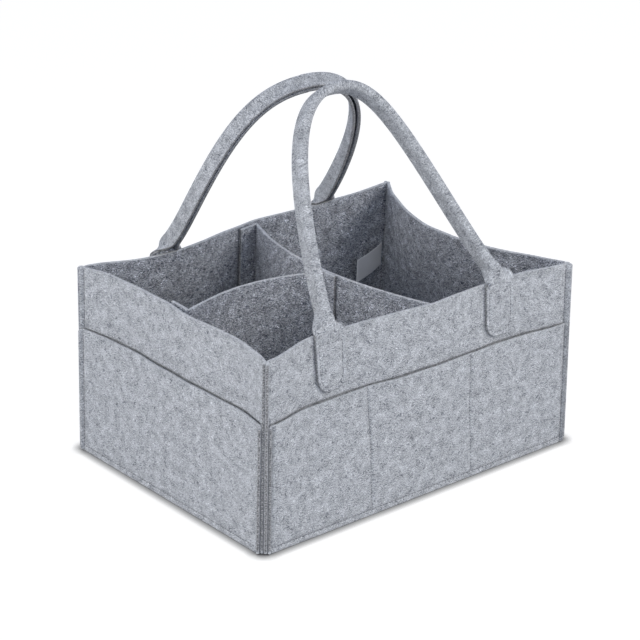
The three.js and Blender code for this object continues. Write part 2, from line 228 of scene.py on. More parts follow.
class InsertSizes(bpy.types.PropertyGroup):
    """Loose T-shaped divider."""

    play: size("Play", 0.0008, "Between the insert and the walls")
    cross_place: size("Cross place", 0.016, "Cross divider right of the middle, at the walls")
    cross_bow: size("Cross bow", 0.024, "Bow of the cross divider to the left")
    cross_skew: size("Cross skew", 0.014, "Middle of that bow, behind the middle")
    end_lift: size("End lift", 0.003, "Long divider's end riding up at the left end wall")
    long_place: size("Long place", -0.006, "Long divider behind the middle, at its ends")
    long_bow: size("Long bow", 0.018, "Bow of the long divider to the back")
    wall_flange: size("Wall flange", 0.023, "End turned along a wall")
    join_flange: size("Join flange", 0.015, "End turned along the cross divider")
    bend: size("Bend", 0.0025, "Felt taken by a turned end's bend")


class TagSizes(bpy.types.PropertyGroup):
    """Woven tag."""

    thickness: size("Thickness", 0.0004, "Thickness of the tape")
    bend: shift("Bend", (0.0237, 0.0121), "Left and forward of the seam, where the tag's curve aims")
    free_end: shift("Free end", (0.0456, 0.0180), "Left and forward of the seam, where the tag ends")


class SeamSizes(bpy.types.PropertyGroup):
    """Stitching."""

    stitch: size("Stitch", 0.0034, "Length of one stitch with its gap")
    thread: size("Thread", 0.0006, "Thickness of the thread")
    groove: size("Groove", 0.0011, "Depth to which a seam draws in the felt")
    groove_width: size("Groove width", 0.0015, "Half-width of that groove")
    tab_inset: size("Tab seam", 0.004, "Tab seam inside the tab's edge")
    tab_top: size("Tab seam top", 0.009, "Tab seam's upper row below the wall's top")
    bottom: size("Bottom seam", 0.005, "Bottom seam above the ground")


class Finishes(bpy.types.PropertyGroup):
    """Colours of felt, thread and tag."""

    felt_grey: colour("Felt grey", (0.480, 0.494, 0.503), "Body of the heathered felt")
    felt_light: colour("Felt light", (0.662, 0.674, 0.682), "Pale fibres")
    felt_dark: colour("Felt dark", (0.100, 0.110, 0.132), "Dark fibres")
    edge_pale: colour("Edge pale", (0.455, 0.456, 0.454), "Pale fibres of a cut edge")
    edge_dark: colour("Edge dark", (0.092, 0.092, 0.094), "Dark fibres of a cut edge")
    # Painted shade: inner faces are multiplied by this darker, bluer tint
    inner_tint: colour("Inner tint", (0.935, 0.945, 0.990), "What inner faces keep of the felt's colours")
    thread_grey: colour("Thread", (0.130, 0.136, 0.150), "Sewing thread")
    tag_white: colour("Tag", (0.920, 0.920, 0.910), "Woven tag")


class StudioSettings(bpy.types.PropertyGroup):
    """Camera and light."""

    azimuth: angle("Azimuth", -41.421, "Camera round the upright")
    elevation: angle("Elevation", 23.258, "Camera above the horizon")
    roll: angle("Roll", 1.561, "Camera turned about its own line of sight")
    distance: size("Distance", 2.2488, "Camera from the point that it looks at")
    target: bpy.props.FloatVectorProperty(
        name="Target", description="Point that the camera looks at", default=(0.02788, 0.04292, 0.1034),
        subtype="XYZ", unit="LENGTH")
    lens: number("Lens", 134.87, "Focal length in millimetres")
    key: number("Key", 22.4, "Power of the soft light at the right")
    fill: number("Fill", 20.5, "Power of the soft light at the left")
    top: number("Top", 12.0, "Power of the soft light above")
    sky: number("Sky", 0.35, "Strength of the even light from all round")


class BasketSettings(bpy.types.PropertyGroup):
    """All sizes and finishes of the basket."""

    panels: bpy.props.PointerProperty(type=PanelSizes, name="Panels", description="Felt panels of the box")
    handles: bpy.props.PointerProperty(type=HandleSizes, name="Handles", description="Folded strip handles")
    insert: bpy.props.PointerProperty(type=InsertSizes, name="Insert", description="Loose divider")
    tag: bpy.props.PointerProperty(type=TagSizes, name="Tag", description="Woven tag")
    seams: bpy.props.PointerProperty(type=SeamSizes, name="Seams", description="Stitching")
    finishes: bpy.props.PointerProperty(type=Finishes, name="Finishes", description="Colours")
    studio: bpy.props.PointerProperty(type=StudioSettings, name="Studio", description="Camera and light")


# Curves and grids


def ease(share):
    """Smooth step from 0 to 1, level at both ends."""
    return (1 - np.cos(np.pi * np.clip(share, 0, 1))) / 2


def unit(vectors):
    """Vectors of the same directions and length 1."""
    return vectors / np.maximum(np.linalg.norm(vectors, axis=-1, keepdims=True), TINY)


def stations(low, high, step, fine_at=()):
    """Places from low to high at about that step, closer together round each seam."""
    places = [np.linspace(low, high, max(2, int(round((high - low) / step)) + 1))]
    for seam in fine_at:
        close = np.arange(seam - SEAM_REACH, seam + SEAM_REACH + SEAM_STEP / 2, SEAM_STEP)
        places = [part[(part < close[0] - SEAM_STEP) | (part > close[-1] + SEAM_STEP)] for part in places]
        places.append(close)
    joined = np.sort(np.concatenate(places))
    return joined[(joined >= low) & (joined <= high)]


def line_length(line):
    """Distance along a line of points up to each of them."""
    return np.concatenate(([0.0], np.cumsum(np.linalg.norm(np.diff(line, axis=0), axis=1))))


def along_line(line, distances):
    """Points of a line at those distances along it."""
    lengths = line_length(line)
    return np.stack([np.interp(distances, lengths, line[:, axis]) for axis in range(line.shape[1])], axis=-1)


def line_distance(points, line):
    """Distance of flat points from a line of segments."""
    nearest = np.full(points.shape[:-1], np.inf)
    for start, end in zip(line[:-1], line[1:]):
        leg = end - start
        share = np.clip(((points - start) @ leg) / (leg @ leg), 0, 1)
        nearest = np.minimum(nearest, np.linalg.norm(points - start - share[..., None] * leg, axis=-1))
    return nearest


def bezier(points, share):
    """Points of a quadratic or cubic curve with those control points."""
    order = len(points) - 1
    curve = 0
    for place, point in enumerate(points):
        weight = math.comb(order, place) * share ** place * (1 - share) ** (order - place)
        curve = curve + weight[:, None] * np.asarray(point)
    return curve


def upright_row(place, low, high):
    """Flat line of an upright row of stitches."""
    return np.array(((place, low), (place, high)))


def seam_groove(flat, lines, seams):
    """Depth of the grooves that seams along those lines draw in a flat piece of felt."""
    depth = np.zeros(flat.shape[:-1])
    for line in lines:
        depth = np.maximum(depth, np.exp(-((line_distance(flat, line) / seams.groove_width) ** 2)))
    return seams.groove * depth


# Meshes


def rim_of(rows, cols):
    """Rows and columns of a grid's border, once round against the clock."""
    up, along = np.arange(rows - 1), np.arange(cols - 1)
    row = np.concatenate((0 * along, up, 0 * along + rows - 1, rows - 1 - up))
    col = np.concatenate((along, 0 * up + cols - 1, cols - 1 - along, 0 * up))
    return row, col


def outward_of(edge, normal):
    """Directions away from a sheet along its closed border, mitred at the corners up to a limit."""
    least = 0.5
    legs = unit(np.roll(edge, -1, axis=0) - edge)
    after = unit(np.cross(legs, normal))
    before = np.roll(after, 1, axis=0)
    return (before + after) / np.maximum(1 + np.sum(before * after, axis=-1, keepdims=True), least)


def mesh_object(name, points, faces, material):
    """Smooth-shaded object of those points and faces, in the scene."""
    mesh = bpy.data.meshes.new(name)
    mesh.from_pydata(points.tolist(), [], faces)
    mesh.polygons.foreach_set("use_smooth", [True] * len(mesh.polygons))
    mesh.materials.append(material)
    made = bpy.data.objects.new(name, mesh)
    bpy.context.scene.collection.objects.link(made)
    return made


def point_values(made, name, values):
    """Sets a named value at each point of a mesh."""
    made.data.attributes.new(name, "FLOAT", "POINT").data.foreach_set("value", values.astype(np.float32))


def felt_sheet(name, middle, flat, front, back, rounding, material, normal=None, mottled=BACK_PAINTED_SHADE):
    """Closed sheet round a grid of middle points, with rounded cut edges.

    flat holds each point's place on the uncut sheet, front and back the depths of its two faces, and
    the last argument how much shade is painted on them: darker, bluer felt with stronger fibres.
    """
    rows, cols = middle.shape[:2]
    if normal is None:
        normal = unit(np.cross(np.gradient(middle, axis=1), np.gradient(middle, axis=0)))
    rim = rim_of(rows, cols)
    edge, edge_normal = middle[rim], normal[rim]
    outward = outward_of(edge, edge_normal)
    inset = middle.copy()
    inset[rim] = edge - outward * rounding
    corner = rounding * (1 - math.sqrt(0.5))
    front_edge, back_edge = front[rim][:, None], back[rim][:, None]
    turns = (
        (corner, front_edge - corner),
        (0.0, front_edge - rounding),
        (0.0, back_edge + rounding),
        (corner, back_edge + corner),
    )
    rings = [edge - outward * away + edge_normal * depth for away, depth in turns]
    faces_of_sheet = [inset + normal * front[..., None], inset + normal * back[..., None]]
    points = np.concatenate([part.reshape(-1, 3) for part in faces_of_sheet + rings])

    grid = np.arange(rows * cols).reshape(rows, cols)
    quads = np.stack((grid[:-1, :-1], grid[:-1, 1:], grid[1:, 1:], grid[1:, :-1]), axis=-1).reshape(-1, 4)
    count = len(edge)
    loops = [grid[rim]]
    loops += [2 * rows * cols + ring * count + np.arange(count) for ring in range(len(rings))]
    loops += [grid[rim] + rows * cols]
    sides = [np.stack((one, two, np.roll(two, -1), np.roll(one, -1)), axis=-1)
             for one, two in zip(loops[:-1], loops[1:])]
    faces = np.concatenate([quads, quads[:, ::-1] + rows * cols, *sides])
    made = mesh_object(name, points, faces.tolist(), material)

    away = np.stack((np.sign(rim[1] - (cols - 1) / 2) * np.isin(rim[1], (0, cols - 1)),
                     np.sign(rim[0] - (rows - 1) / 2) * np.isin(rim[0], (0, rows - 1))), axis=-1)
    depth = float(np.mean(front - back)) / len(rings)
    flat_rings = [flat[rim] + away * depth * (ring + 0.5) for ring in range(len(rings))]
    places = np.concatenate([part.reshape(-1, 2) for part in [flat, flat] + flat_rings])
    corners = np.empty(len(made.data.loops), dtype=np.int32)
    made.data.loops.foreach_get("vertex_index", corners)
    made.data.uv_layers.new(name="Flat").data.foreach_set("uv", places[corners].astype(np.float32).ravel())
    # Raw edges show the cut felt; all other edges get a painted highlight, stored as negative values
    raw = np.isin(rim[1], (0, cols - 1))
    cut = [np.where(raw, shown, -EDGE_HIGHLIGHT) for shown in RAW_EDGE_RINGS]
    point_values(made, "cut_edge", np.concatenate((np.zeros(2 * rows * cols), *cut)))
    # Share of painted shade on each face; the rounded edges get none
    fibres = np.repeat(mottled, rows * cols)
    point_values(made, "mottled", np.concatenate((fibres, np.zeros(len(rings) * count))))
    return made


def even_sheet(name, middle, flat, thickness, rounding, material, normal=None, mottled=BACK_PAINTED_SHADE):
    """Closed sheet of one thickness."""
    half = np.full(middle.shape[:2], thickness / 2)
    return felt_sheet(name, middle, flat, half, -half, rounding, material, normal, mottled)


class ThreadRows:
    """Rows of stitches that are gathered into one mesh.

    SHAPE is a stitch's thickness along its length and GAP the share of that length left bare. RISE and SUNK
    are its middle's height and its ends' depth in thread thicknesses. A stitch that climbs more than STEEP
    has its sides set by ASIDE and not by UP.
    """

    SIDES = 6
    SHAPE = np.array((0.55, 0.95, 1.0, 0.95, 0.55))
    GAP = 0.16
    RISE = 0.75
    SUNK = 0.35
    STEEP = 0.8
    UP = (0.0, 0.0, 1.0)
    ASIDE = (0.7, 0.7, 0.0)

    def __init__(self, seams):
        self.seams = seams
        self.points = []
        self.faces = []
        self.count = 0

    def sew(self, line, place):
        """Stitches along a flat line. place gives the points of flat places at heights off the felt."""
        length = line_length(line)[-1]
        number_of = max(1, int(round(length / self.seams.stitch)))
        steps = len(self.SHAPE)
        within = self.GAP / 2 + (1 - self.GAP) * np.linspace(0, 1, steps)
        share = (np.arange(number_of)[:, None] + within) / number_of
        flat = along_line(line, share * length)
        lift = self.seams.thread * (self.RISE * np.sin(np.pi * np.linspace(0, 1, steps)) - self.SUNK)
        centres = place(flat[..., 0], flat[..., 1], np.broadcast_to(lift, share.shape))
        ahead = unit(np.gradient(centres, axis=1))
        upright = np.where(np.abs(ahead[..., 2:]) < self.STEEP, self.UP, self.ASIDE)
        side = unit(np.cross(ahead, upright))
        over = np.cross(ahead, side)
        turn = np.linspace(0, 2 * np.pi, self.SIDES, endpoint=False)
        ring = side[:, :, None] * np.cos(turn)[:, None] + over[:, :, None] * np.sin(turn)[:, None]
        radius = (self.seams.thread / 2 * self.SHAPE)[None, :, None, None]
        self.points.append((centres[:, :, None] + radius * ring).reshape(-1, 3))
        index = np.arange(number_of * steps * self.SIDES).reshape(number_of, steps, self.SIDES) + self.count
        nearer, further = index[:, :-1], index[:, 1:]
        quads = np.stack(
            (nearer, np.roll(nearer, -1, axis=2), np.roll(further, -1, axis=2), further), axis=-1)
        self.faces += quads.reshape(-1, 4).tolist()
        self.faces += index[:, 0, ::-1].tolist() + index[:, -1].tolist()
        self.count += index.size

    def finish(self, name, body, material):
        """Makes the gathered rows one piece on a body."""
        made = mesh_object(name, np.concatenate(self.points), self.faces, material)
        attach(made, body)


# Box


def climb(z):
    """Share of the wall's lean that is reached at that height."""
    return np.maximum(0, (z - BASE_TOP) / (WALL_TOP - BASE_TOP))


# How close to its seam the drawn-out corner keeps, and the share of the height at which it is all out
PEAK_SHARPNESS = 12
PEAK_HEIGHT = 0.5


def slackened(points, panels):
    """Points moved with the box's top corners, which aren't quite square."""
    x = np.clip(2 * points[..., 0] / INNER_LENGTH, -1, 1)
    y = np.clip(2 * points[..., 1] / INNER_WIDTH, -1, 1)
    corners = ((-1, -1, panels.near_corner), (-1, 1, panels.far_left_corner),
               (1, 1, panels.far_right_corner), (1, -1, panels.near_right_corner))
    move = sum(((1 + a * x) * (1 + b * y) / 4)[..., None] * np.array((*way, 0.0)) for a, b, way in corners)
    peak = (((1 + x) * (1 + y) / 4) ** PEAK_SHARPNESS)[..., None] * np.array(panels.far_right_peak)
    share = climb(points[..., 2])[..., None]
    return points + np.minimum(share, 1) * move + np.minimum(share / PEAK_HEIGHT, 1) * peak


class Side:
    """One side of the box, drawn as the front one and turned about the upright."""

    TURNS = ((1, 0), (0, 1), (-1, 0), (0, -1))

    def __init__(self, name, quarter, run, depth, bow, panels, seams=(), sway=0.0):
        self.name = name
        self.sway = sway
        self.quarter = quarter
        self.half_run = run / 2 - SEAM_GAP * math.sqrt(0.5)
        self.half_depth = depth / 2
        self.bow = bow
        self.panels = panels
        self.seams = seams

    def turned(self, x, y, z):
        """World points of places drawn at the front."""
        cos, sin = self.TURNS[self.quarter]
        x, y, z = np.broadcast_arrays(x, y, z)
        return slackened(np.stack((x * cos - y * sin, x * sin + y * cos, z), axis=-1), self.panels)

    def sideways(self, x, z):
        """How far the wall is drawn along its own length."""
        return -self.sway * np.minimum(climb(z), 1) * np.maximum(1 - (x / self.half_run) ** 2, 0)

    def inward(self, x, z):
        """How far the wall stands in from the upright."""
        waves = sum(
            share * np.sin(2 * np.pi * (x / long + z / tall + self.quarter / RIPPLE_STARTS))
            for long, tall, share in RIPPLES)
        fade = ease((self.half_run - np.abs(x)) / RIPPLE_FADE) * ease(z / RIPPLE_FADE)
        return climb(z) * self.bow(x, self.half_run) + self.panels.ripple * waves * fade


def long_bow(left, held, right, held_at):
    """Bow of a long wall: drawn in flat under its two tabs, held by the divider between them."""
    inner = TAB_PLACE - STRIP_WIDTH / 2
    outer = TAB_PLACE + STRIP_WIDTH / 2

    def bow(x, end):
        hand = np.where(x < held_at, -1, 1)
        pull = np.where(x < held_at, left, right)
        share = np.clip((x - held_at) / (hand * inner - held_at), 0, 1)
        between = held + (pull - held) * (share + ease(share)) / 2
        beside = pull * ease((end - np.abs(x)) / (end - outer))
        return np.where(np.abs(x) < inner, between, beside)

    return bow


# Middle and width of the stretch where the divider holds the left end wall, and how square its bow is
LEFT_HELD_PLACE = 0.02
LEFT_HELD_WIDTH = 0.035
LEFT_SQUARENESS = 5


def left_bow(panels):
    """Bow of the left end wall: nearly even, with the divider holding its middle out."""
    def bow(x, end):
        near = np.exp(-(((x - LEFT_HELD_PLACE) / LEFT_HELD_WIDTH) ** 2))
        held = (panels.left_bow - panels.left_held) * near
        return panels.left_bow * (1 - np.abs(x / end) ** LEFT_SQUARENESS) - held

    return bow


def right_bow(panels):
    """Bow of the right end wall, which nothing holds out."""
    return lambda x, end: panels.right_bow * np.cos(np.pi / 2 * x / end)


def box_sides(settings):
    """The four sides of the box."""
    panels = settings.panels
    seams = (-panels.pocket_seam, panels.pocket_seam)
    divider = settings.insert.cross_place
    front = long_bow(panels.front_left_pull, panels.front_held, panels.front_right_pull, divider)
    back = long_bow(panels.back_right_pull, panels.back_held, panels.back_left_pull, -divider)
    return {
        "front": Side("front", 0, INNER_LENGTH, INNER_WIDTH, front, panels, seams, panels.front_sway),
        "right_end": Side("right_end", 1, INNER_WIDTH, INNER_LENGTH, right_bow(panels), panels),
        "back": Side("back", 2, INNER_LENGTH, INNER_WIDTH, back, panels, seams, panels.back_sway),
        "left_end": Side("left_end", 3, INNER_WIDTH, INNER_LENGTH, left_bow(panels), panels),
    }


class Panel:
    """A wall or a pocket. along equals x between the lips and goes on round the bends to their tips."""

    BEND = math.pi / 4

    def __init__(self, side, out, top, panels, short=False):
        self.side = side
        self.out = out
        self.top = top
        self.bend = panels.lip_bend
        cut = (out + self.bend) * math.tan(self.BEND / 2)
        self.run_end = side.half_run - cut
        self.bend_end = self.run_end + self.bend * self.BEND
        self.tip = self.bend_end + panels.lip - cut - short * panels.lip_short
        self.felt = panels.felt

    def swell(self, x, z):
        """How far the panel stands off what lies behind it."""
        return 0.0

    def at(self, along, z, out=0.0):
        """World points that far along, that high and that far outward of the panel's middle."""
        along, z, out = np.broadcast_arrays(np.asarray(along, float), z, out)
        run = np.clip(along, -self.run_end, self.run_end)
        beyond = np.abs(along - run)
        turn = np.minimum(beyond / self.bend, self.BEND)
        straight = beyond - turn * self.bend
        x = run + np.sign(along) * (self.bend * np.sin(turn) + straight * np.cos(turn) - out * np.sin(turn))
        drop = self.bend * (1 - np.cos(turn)) + straight * np.sin(turn) + out * np.cos(turn)
        y = self.side.inward(run, z) - self.swell(run, z) - self.side.half_depth - self.out - drop
        return self.side.turned(x + self.side.sideways(run, z), y, z)

    def columns(self):
        """Places along the panel for its mesh."""
        run = stations(-self.run_end, self.run_end, PANEL_STEP, self.side.seams)
        bend = np.linspace(self.run_end, self.bend_end, LIP_POINTS)[1:]
        lip = np.linspace(self.bend_end, self.tip, LIP_POINTS)[1:]
        right = np.concatenate((bend, lip))
        return np.concatenate((-right[::-1], run, right))


class Pocket(Panel):
    """A panel sewn to a wall along its ends, its lower edge and its upright seams.

    FULLNESS is how squarely a cell fills out between its seams, and LATE how near the top the mouth opens.
    """

    FULLNESS = 0.4
    LATE = 3

    def __init__(self, side, panels):
        super().__init__(side, panels.felt * 1.5 + SEAM_GAP, POCKET_TOP, panels, bool(side.seams))
        self.mouth = panels.pocket_mouth
        self.standing = panels.pocket_swell

    def swell(self, x, z):
        pins = np.array((-self.run_end, *self.side.seams, self.run_end))
        cell = np.clip(np.searchsorted(pins, x, side="right") - 1, 0, len(pins) - 2)
        low, high = pins[cell], pins[cell + 1]
        slack = np.clip(4 * (x - low) * (high - x) / (high - low) ** 2, 0, 1) ** self.FULLNESS
        share = np.clip(z / self.top, 0, 1)
        return slack * (self.mouth * share ** self.LATE + self.standing * np.sin(np.pi * share))


def wall_panel(side, panels):
    """The wall of a side."""
    return Panel(side, panels.felt / 2, WALL_TOP, panels, not side.seams)


def tab_seam(settings):
    """Flat line of a tab's seam, closed, round a tab in the middle."""
    seams = settings.seams
    half = STRIP_WIDTH / 2 - seams.tab_inset
    low = WALL_TOP - TAB_LENGTH + seams.tab_inset
    high = WALL_TOP - seams.tab_top
    radius = settings.handles.tab_corner - seams.tab_inset
    turn = np.linspace(0, np.pi / 2, TAB_SEAM_POINTS)
    left = np.stack((-half + radius - radius * np.cos(turn), low + radius - radius * np.sin(turn)), axis=-1)
    right = left[::-1] * (-1, 1)
    return np.concatenate((((-half, high),), left, right, ((half, high), (-half, high))))


def lip_grooves(panel, along, seams):
    """Depth that the corner seams draw in a panel's outer face at the roots of its lips."""
    return seams.groove * np.exp(-(((np.abs(along) - panel.bend_end) / seams.groove_width) ** 2))


# Fade at the ends, half-height and squareness of the slit behind a pocket's mouth
SLIT_FADE = 0.004
SLIT_HALF = 0.0035
SLIT_SQUARENESS = 6


def mouth_slit(panel, along, z, depth):
    """Depth to which a wall's felt is pressed in behind its pocket's mouth."""
    if panel.top <= POCKET_TOP:
        return np.zeros(z.shape)
    beside = ease((panel.run_end - np.abs(along)) / SLIT_FADE)
    return depth * beside * np.exp(-(((z - POCKET_TOP + SLIT_HALF) / SLIT_HALF) ** SLIT_SQUARENESS))


# Rounding of a lip's two ends together, in roundings of its lower end
LIP_END_ROUNDINGS = 1.4


def sewn_panel(name, panel, fine_rows, outer_lines, inner_lines, settings, material):
    """Mesh of a wall or pocket with the grooves of its seams."""
    along, z = np.meshgrid(panel.columns(), stations(0, panel.top, PANEL_STEP, fine_rows))
    into_lip = np.clip((np.abs(along) - panel.bend_end) / (panel.tip - panel.bend_end), 0, 1)
    rounded = settings.panels.lip_corner * (1 - np.sqrt(1 - into_lip ** 2))
    z = rounded + z * (1 - LIP_END_ROUNDINGS * rounded / panel.top)
    flat = np.stack((along, z), axis=-1)
    seams = settings.seams
    outer = np.maximum(seam_groove(flat, outer_lines, seams), lip_grooves(panel, along, seams))
    outer = np.maximum(outer, mouth_slit(panel, along, z, settings.panels.mouth_slit))
    inner = seam_groove(flat, inner_lines, seams)
    half = panel.felt / 2
    offset = np.array((panel.side.quarter * SIDE_PATTERN, panel.top * HEIGHT_PATTERN))
    return felt_sheet(name, panel.at(along, z), flat + offset, half - outer, inner - half,
                      settings.panels.rounding, material)


def make_walls(settings):
    """Four walls, each sewn outward into its upright seams."""
    felt = felt_material(settings.finishes)
    for side in box_sides(settings).values():
        panel = wall_panel(side, settings.panels)
        tabs = []
        if side.seams:
            tabs = [tab_seam(settings)[:-1] + (place, 0) for place in (-TAB_PLACE, TAB_PLACE)]
        made = sewn_panel(f"{side.name}_wall_panel", panel, (POCKET_TOP,), [], tabs, settings, felt)
        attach(made, "basket")
        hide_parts(f"{side.name}_wall")


def pocket_lines(pocket, seams):
    """Flat lines of a pocket's seams: the bottom one and the upright ones between its cells."""
    bottom = np.array(((-pocket.run_end, seams.bottom), (pocket.run_end, seams.bottom)))
    uprights = [upright_row(place, seams.bottom, pocket.top) for place in pocket.side.seams]
    return [bottom, *uprights]


def make_pockets(settings):
    """Four outer pockets."""
    felt = felt_material(settings.finishes)
    for side in box_sides(settings).values():
        pocket = Pocket(side, settings.panels)
        lines = pocket_lines(pocket, settings.seams)
        fine_rows = (settings.seams.bottom,)
        made = sewn_panel(f"{side.name}_pocket_panel", pocket, fine_rows, lines, [], settings, felt)
        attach(made, "basket")
        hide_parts(f"{side.name}_pocket")


def turned_down(distance, radius, depth):
    """Plan place and height of felt that turns down, at distances past the bend's start."""
    bend = radius * math.pi / 2
    turn = np.clip(distance, 0, bend) / radius
    straight = np.clip(distance - bend, 0, depth)
    return radius * np.sin(turn), -radius * (1 - np.cos(turn)) - straight


def make_base(settings):
    """Base whose edge is turned down into the bottom seam."""
    panels = settings.panels
    middle_height = BASE_TOP - panels.felt / 2
    radius = panels.base_rim
    drop = middle_height - radius - SEAM_GAP
    rim = radius * math.pi / 2 + drop
    level = [inner / 2 - SEAM_GAP - panels.felt / 2 - radius for inner in (INNER_LENGTH, INNER_WIDTH)]
    turned = np.linspace(0, rim, BASE_RIM_POINTS)[1:]
    flats = []
    for half in level:
        run = np.linspace(-half, half, int(2 * half / BASE_STEP))
        flats.append(np.concatenate((-half - turned[::-1], run, half + turned)))
    u, v = np.meshgrid(*flats)
    past_x = np.maximum(np.abs(u) - level[0], 0)
    past_y = np.maximum(np.abs(v) - level[1], 0)
    past = np.maximum(past_x, past_y)
    least = np.minimum(past_x, past_y) / np.maximum(past, TINY)
    turn = np.where(past_x >= past_y, least, 2 - least) * math.pi / 4
    reach, height = turned_down(past, radius, drop)
    x = np.sign(u) * (np.minimum(np.abs(u), level[0]) + reach * np.cos(turn))
    y = np.sign(v) * (np.minimum(np.abs(v), level[1]) + reach * np.sin(turn))
    middle = np.stack((x, y, middle_height + height), axis=-1)
    tilt = np.minimum(past / radius, math.pi / 2)
    normal = np.stack((
        np.sign(u) * np.sin(tilt) * np.cos(turn),
        np.sign(v) * np.sin(tilt) * np.sin(turn),
        np.cos(tilt)), axis=-1)
    flat = np.stack((u, v), axis=-1) + BASE_PATTERN
    felt = felt_material(settings.finishes)
    made = even_sheet("base_felt", middle, flat, panels.felt, panels.rounding, felt, normal, FRONT_PAINTED_SHADE)
    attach(made, "basket")
    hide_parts("base_panel")


# Handles


class HandleStrip:
    """A felt strip from one tab over the arch to the other, drawn at the front."""

    # Sizes that each handle has of its own
    OWN_SIZES = ("to_middle", "rise", "belly", "shoulder", "inset", "crown",
                 "drift", "skew", "twist", "fold", "close", "sunk")

    # Points of the arch's line, across the strip and round a tab's corner, and crowding to the strip's middle
    LINE_POINTS = 1201
    ACROSS_POINTS = 41
    CORNER_POINTS = 12
    ACROSS_CROWDING = 1.25

    # Spacing of the mesh on a tab, over the fold and on the arch, and how far the fold's rows go on beside it
    TAB_STEP = 0.0015
    FOLD_STEP = 0.001
    ARCH_STEP = 0.0022
    BEFORE_FOLD = 0.003
    BESIDE_FOLD = 0.004

    # How late the arch is drawn aside as it rises, and the share of the arch that the twist takes up
    SKEW_LATE = 6
    TWIST_SHARE = 0.6

    # Share of the fold's depth that lies outside the arch's line, and what is added to it where half folded
    FOLD_BALANCE = 0.5
    HALF_FOLD_BALANCE = 0.14

    # How far below the wall's top the strip begins to leave it, and the length over which it does
    LEAVES_WALL = 0.001
    CLEAR_OF_WALL = 0.006

    def __init__(self, side, settings):
        self.side = side
        self.sizes = settings.handles
        self.felt = settings.panels.felt
        self.wall = wall_panel(side, settings.panels)
        self.off_wall = self.felt + SEAM_GAP
        for word in self.OWN_SIZES:
            setattr(self, word, getattr(self.sizes, f"{side.name}_{word}"))
        self.feet = [self.foot(place) for place in (-TAB_PLACE, TAB_PLACE)]
        self.lean = math.asin((-np.mean(self.feet) - self.to_middle) / self.rise)
        self.fold_radius = self.sizes.fold_bore + self.felt / 2
        leg = STRIP_WIDTH / 2 - self.fold_radius * math.pi / 2
        self.fold_turn = math.pi / 2 + (self.fold_radius - (self.felt + self.sizes.fold_gap) / 2) / leg
        self.fold_arc = self.fold_radius * self.fold_turn
        self.line = self.centre(np.linspace(0, 1, self.LINE_POINTS))
        self.length = line_length(self.line)[-1]

    def foot(self, place):
        """How far back the strip's middle is where it leaves the wall."""
        wall = self.side.inward(place, WALL_TOP) - self.side.half_depth
        return float(wall - self.felt / 2 - self.off_wall)

    def centre(self, share):
        """Middle of the strip from the left tab (0) to the right one (1)."""
        half = TAB_PLACE
        leg = ((half, 0), (half - self.inset, self.shoulder), (self.crown, self.rise), (0, self.rise))
        place = bezier(leg, 1 - np.abs(2 * share - 1))
        up = place[:, 1]
        turned = 1 - np.exp(-up / self.sizes.lead_in)
        inward = (math.sin(self.lean) * up + self.belly * up / self.rise * (1 - up / self.rise)) * turned
        uneven = np.exp(-up / self.sizes.foot_fade)
        foot = np.where(share < 0.5, *self.feet) * uneven + np.mean(self.feet) * (1 - uneven)
        x = np.where(share < 0.5, -1, 1) * (half + (place[:, 0] - half) * turned) - self.drift * turned
        x = x + self.skew * (up / self.rise) ** self.SKEW_LATE
        return np.stack((x, foot + inward, WALL_TOP + SEAM_GAP + math.cos(self.lean) * up), axis=-1)

    def runs(self):
        """Distances along the strip for its mesh, from the first tab's end to the last one's."""
        corner = self.sizes.tab_corner
        end = corner * (1 - np.cos(np.linspace(0, np.pi / 2, self.CORNER_POINTS)))
        tab = np.arange(corner + self.TAB_STEP, TAB_LENGTH - self.BESIDE_FOLD, self.TAB_STEP)
        fold_end = TAB_LENGTH + self.fold + self.BESIDE_FOLD
        fold = np.arange(TAB_LENGTH - self.BEFORE_FOLD, fold_end, self.FOLD_STEP)
        near = np.concatenate((end, tab, fold)) - TAB_LENGTH
        arch_end = self.length - near[-1] - self.ARCH_STEP / 2
        arch = np.arange(near[-1] + self.ARCH_STEP, arch_end, self.ARCH_STEP)
        return np.concatenate((near, arch, self.length - near[::-1]))

    def folded(self, reach, share):
        """Places across and depths inward of the strip's middle, folded by that share."""
        turn = self.fold_turn * share
        bent = np.minimum(np.abs(reach), self.fold_arc)
        bend = turn * bent / self.fold_arc
        straight = np.abs(reach) - bent
        across = bent * np.sinc(bend / np.pi) + straight * np.cos(bend)
        depth = bent * bend / 2 * np.sinc(bend / (2 * np.pi)) ** 2 + straight * np.sin(bend)
        return np.sign(reach) * across, depth

    def half_width(self, from_end):
        """Half of the strip's width, which lessens at a tab's rounded corners."""
        corner = self.sizes.tab_corner
        short = np.clip(corner - (from_end + TAB_LENGTH), 0, corner)
        return STRIP_WIDTH / 2 - corner + np.sqrt(corner ** 2 - short ** 2)

    def directions(self, centre, on_arch):
        """Directions across the strip and into its fold, all along it."""
        ahead = unit(np.gradient(centre, axis=0))
        inside = np.array((0, math.cos(self.lean), -math.sin(self.lean)))
        into = unit(inside - ahead * (ahead @ inside)[:, None])
        across = np.cross(into, ahead)
        twisted = np.clip(on_arch / self.length / self.TWIST_SHARE, 0, 1)
        twist = self.twist * np.sin(np.pi * twisted)[:, None] ** 2
        return across * np.cos(twist) - into * np.sin(twist), into * np.cos(twist) + across * np.sin(twist)

